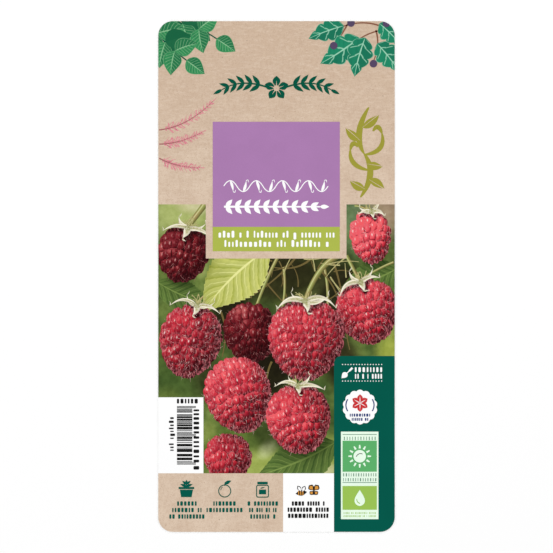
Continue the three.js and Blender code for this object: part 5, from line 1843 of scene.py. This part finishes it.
BACK_TWIGS = [  # dim twigs in the hollow behind the cluster
    [(-12, 7), (-2, -6), (4, -12)], [(8, 8), (2, 0), (-10, -8)], [(24, 6), (28, -4), (30, -26)],
    [(31, -2), (27, -16), (31, -31)], [(-2, -36), (-6, -44), (-2, -50)], [(18, 3), (24, -2), (27, -12)],
    [(-24, -14), (-20, -22), (-23, -34)], [(14, 7), (8, 2), (-2, 4)],
]
Strands = namedtuple("Strands", "name count x y half_width half_height level seed bow ink")
STRANDS = [
    Strands("dry_strands", 18, 7, -2, 22, 11, 0.1, 51, 0.5, "dim_twig_print"),
    Strands("pale_strands", 9, 14, 2, 16, 7, 1.65, 83, 0.24, "straw_print"),
]
STRAND_LENGTH, STRAND_VARIETY = 10, 8


def strands(spec):
    """Thin strands that lie about in a zone of the hollow."""
    film = Film()
    for k in range(spec.count):
        across, up, reach, turn, bow = draws_for(k, spec.seed, (0, 9, 17, 25, 33))
        base = (spec.x + 2 * spec.half_width * across, spec.y + 2 * spec.half_height * up)
        tip = polar(*base, STRAND_LENGTH + STRAND_VARIETY * reach, 2 * math.pi * turn)
        ribbon(film, leaf_path(base, tip, spec.bow * bow), 0.55, 0.2, level(spec.level) + k * LIFT / 4, 12)
    printed(spec.name, film.trim(PICTURE_OUTLINE), spec.ink)


def canes():
    """The canes and stalks, and the dim twigs and strands behind them."""
    for name, stalk in CANES.items():
        film = Film()
        ribbon(film, *stalk, level(STEM_LEVEL + 0.5), 24, 5)
        printed(f"{name}_print", film.trim(PICTURE_OUTLINE), "cane_print", name)
    film = Film()
    for stalk in PEDICELS:
        ribbon(film, *stalk, level(STEM_LEVEL), 28, 5)
    printed("pedicels", film.trim(PICTURE_OUTLINE), "cane_print")
    film = Film()
    for k, path in enumerate(BACK_TWIGS):
        ribbon(film, path, 0.9, 0.4, level(TWIG_LEVEL) + k * LIFT, 20)
    printed("back_twigs", film.trim(PICTURE_OUTLINE), "dim_twig_print")
    for spec in STRANDS:
        strands(spec)


def picture():
    """The picture, from the front to the back."""
    for k, berry in enumerate(BERRIES):
        berry_print(berry, BERRIES[:k])
    for calyx in CALYXES:
        calyx_print(calyx)
        stamens(calyx)
    picture_leaves()
    canes()


# --------------------------------------------------
# Studio
# --------------------------------------------------

VIEW_HEIGHT = 233.85 * MM  # what the view takes in
LENS, SENSOR = 85, 36  # of the camera, in millimetres of its own
SOFTBOX_PLACES = [(-1.1, 0.35), (1.1, 0.35), (-0.4, -1.1), (0.4, 1.1)]  # in metres, from the card's middle
SOFTBOX_HEIGHT = 1.0
SOFTBOX_SIZE = 0.9
SOFTBOX_POWER = 4.61
WORLD_LIGHT = 0.55
BOARD_SIZE = 3  # half its side, in metres
BOARD_HEIGHT = -0.05 * MM


def staged(name, data, place=(0, 0, 0)):
    """Puts something of the studio in the scene."""
    made = bpy.data.objects.new(name, data)
    made.location = place
    bpy.context.scene.collection.objects.link(made)
    return made


def camera():
    """A camera square above the middle of the card."""
    data = bpy.data.cameras.new("camera")
    data.lens = LENS
    data.sensor_width = SENSOR
    data.clip_start = 0.01
    data.clip_end = 20
    place = (0, 0, VIEW_HEIGHT * LENS / SENSOR + FIELD_TOP * MM)
    bpy.context.scene.camera = staged("camera", data, place)


def softbox(name, place):
    """A square lamp that faces the middle of the card."""
    data = bpy.data.lights.new(name, "AREA")
    data.shape = "RECTANGLE"
    data.size = SOFTBOX_SIZE
    data.size_y = SOFTBOX_SIZE
    data.energy = SOFTBOX_POWER
    made = staged(name, data, place)
    made.rotation_euler = (-Vector(place)).to_track_quat("-Z", "Y").to_euler()


def studio():
    """Even copy-stand light on a pale board."""
    board = bmesh.new()
    bmesh.ops.create_grid(board, x_segments=1, y_segments=1, size=BOARD_SIZE)
    mesh = bpy.data.meshes.new("board")
    board.to_mesh(mesh)
    board.free()
    mesh.transform(Matrix.Translation((0, 0, BOARD_HEIGHT)))
    mesh.materials.append(INKS["studio_board"])
    staged("board", mesh)
    for k, (x, y) in enumerate(SOFTBOX_PLACES):
        softbox(f"softbox_{k + 1}", (x, y, SOFTBOX_HEIGHT))
    world = bpy.data.worlds.new("studio")
    world.use_nodes = True
    background = world.node_tree.nodes["Background"].inputs
    background["Color"].default_value = (1, 1, 1, 1)
    background["Strength"].default_value = WORLD_LIGHT
    scene = bpy.context.scene
    scene.world = world
    scene.view_settings.view_transform = "Standard"
    scene.view_settings.look = "None"


def main():
    """The studio, and the card from its header to its picture."""
    camera()
    studio()
    ink_fields()
    name_tendril()
    name_leaf_row()
    emblem()
    left_leaves()
    right_leaves()
    plumes()
    vine()
    badge()
    seal()
    strip()
    care_symbols()
    bar_code()
    print_words()
    picture()


main()
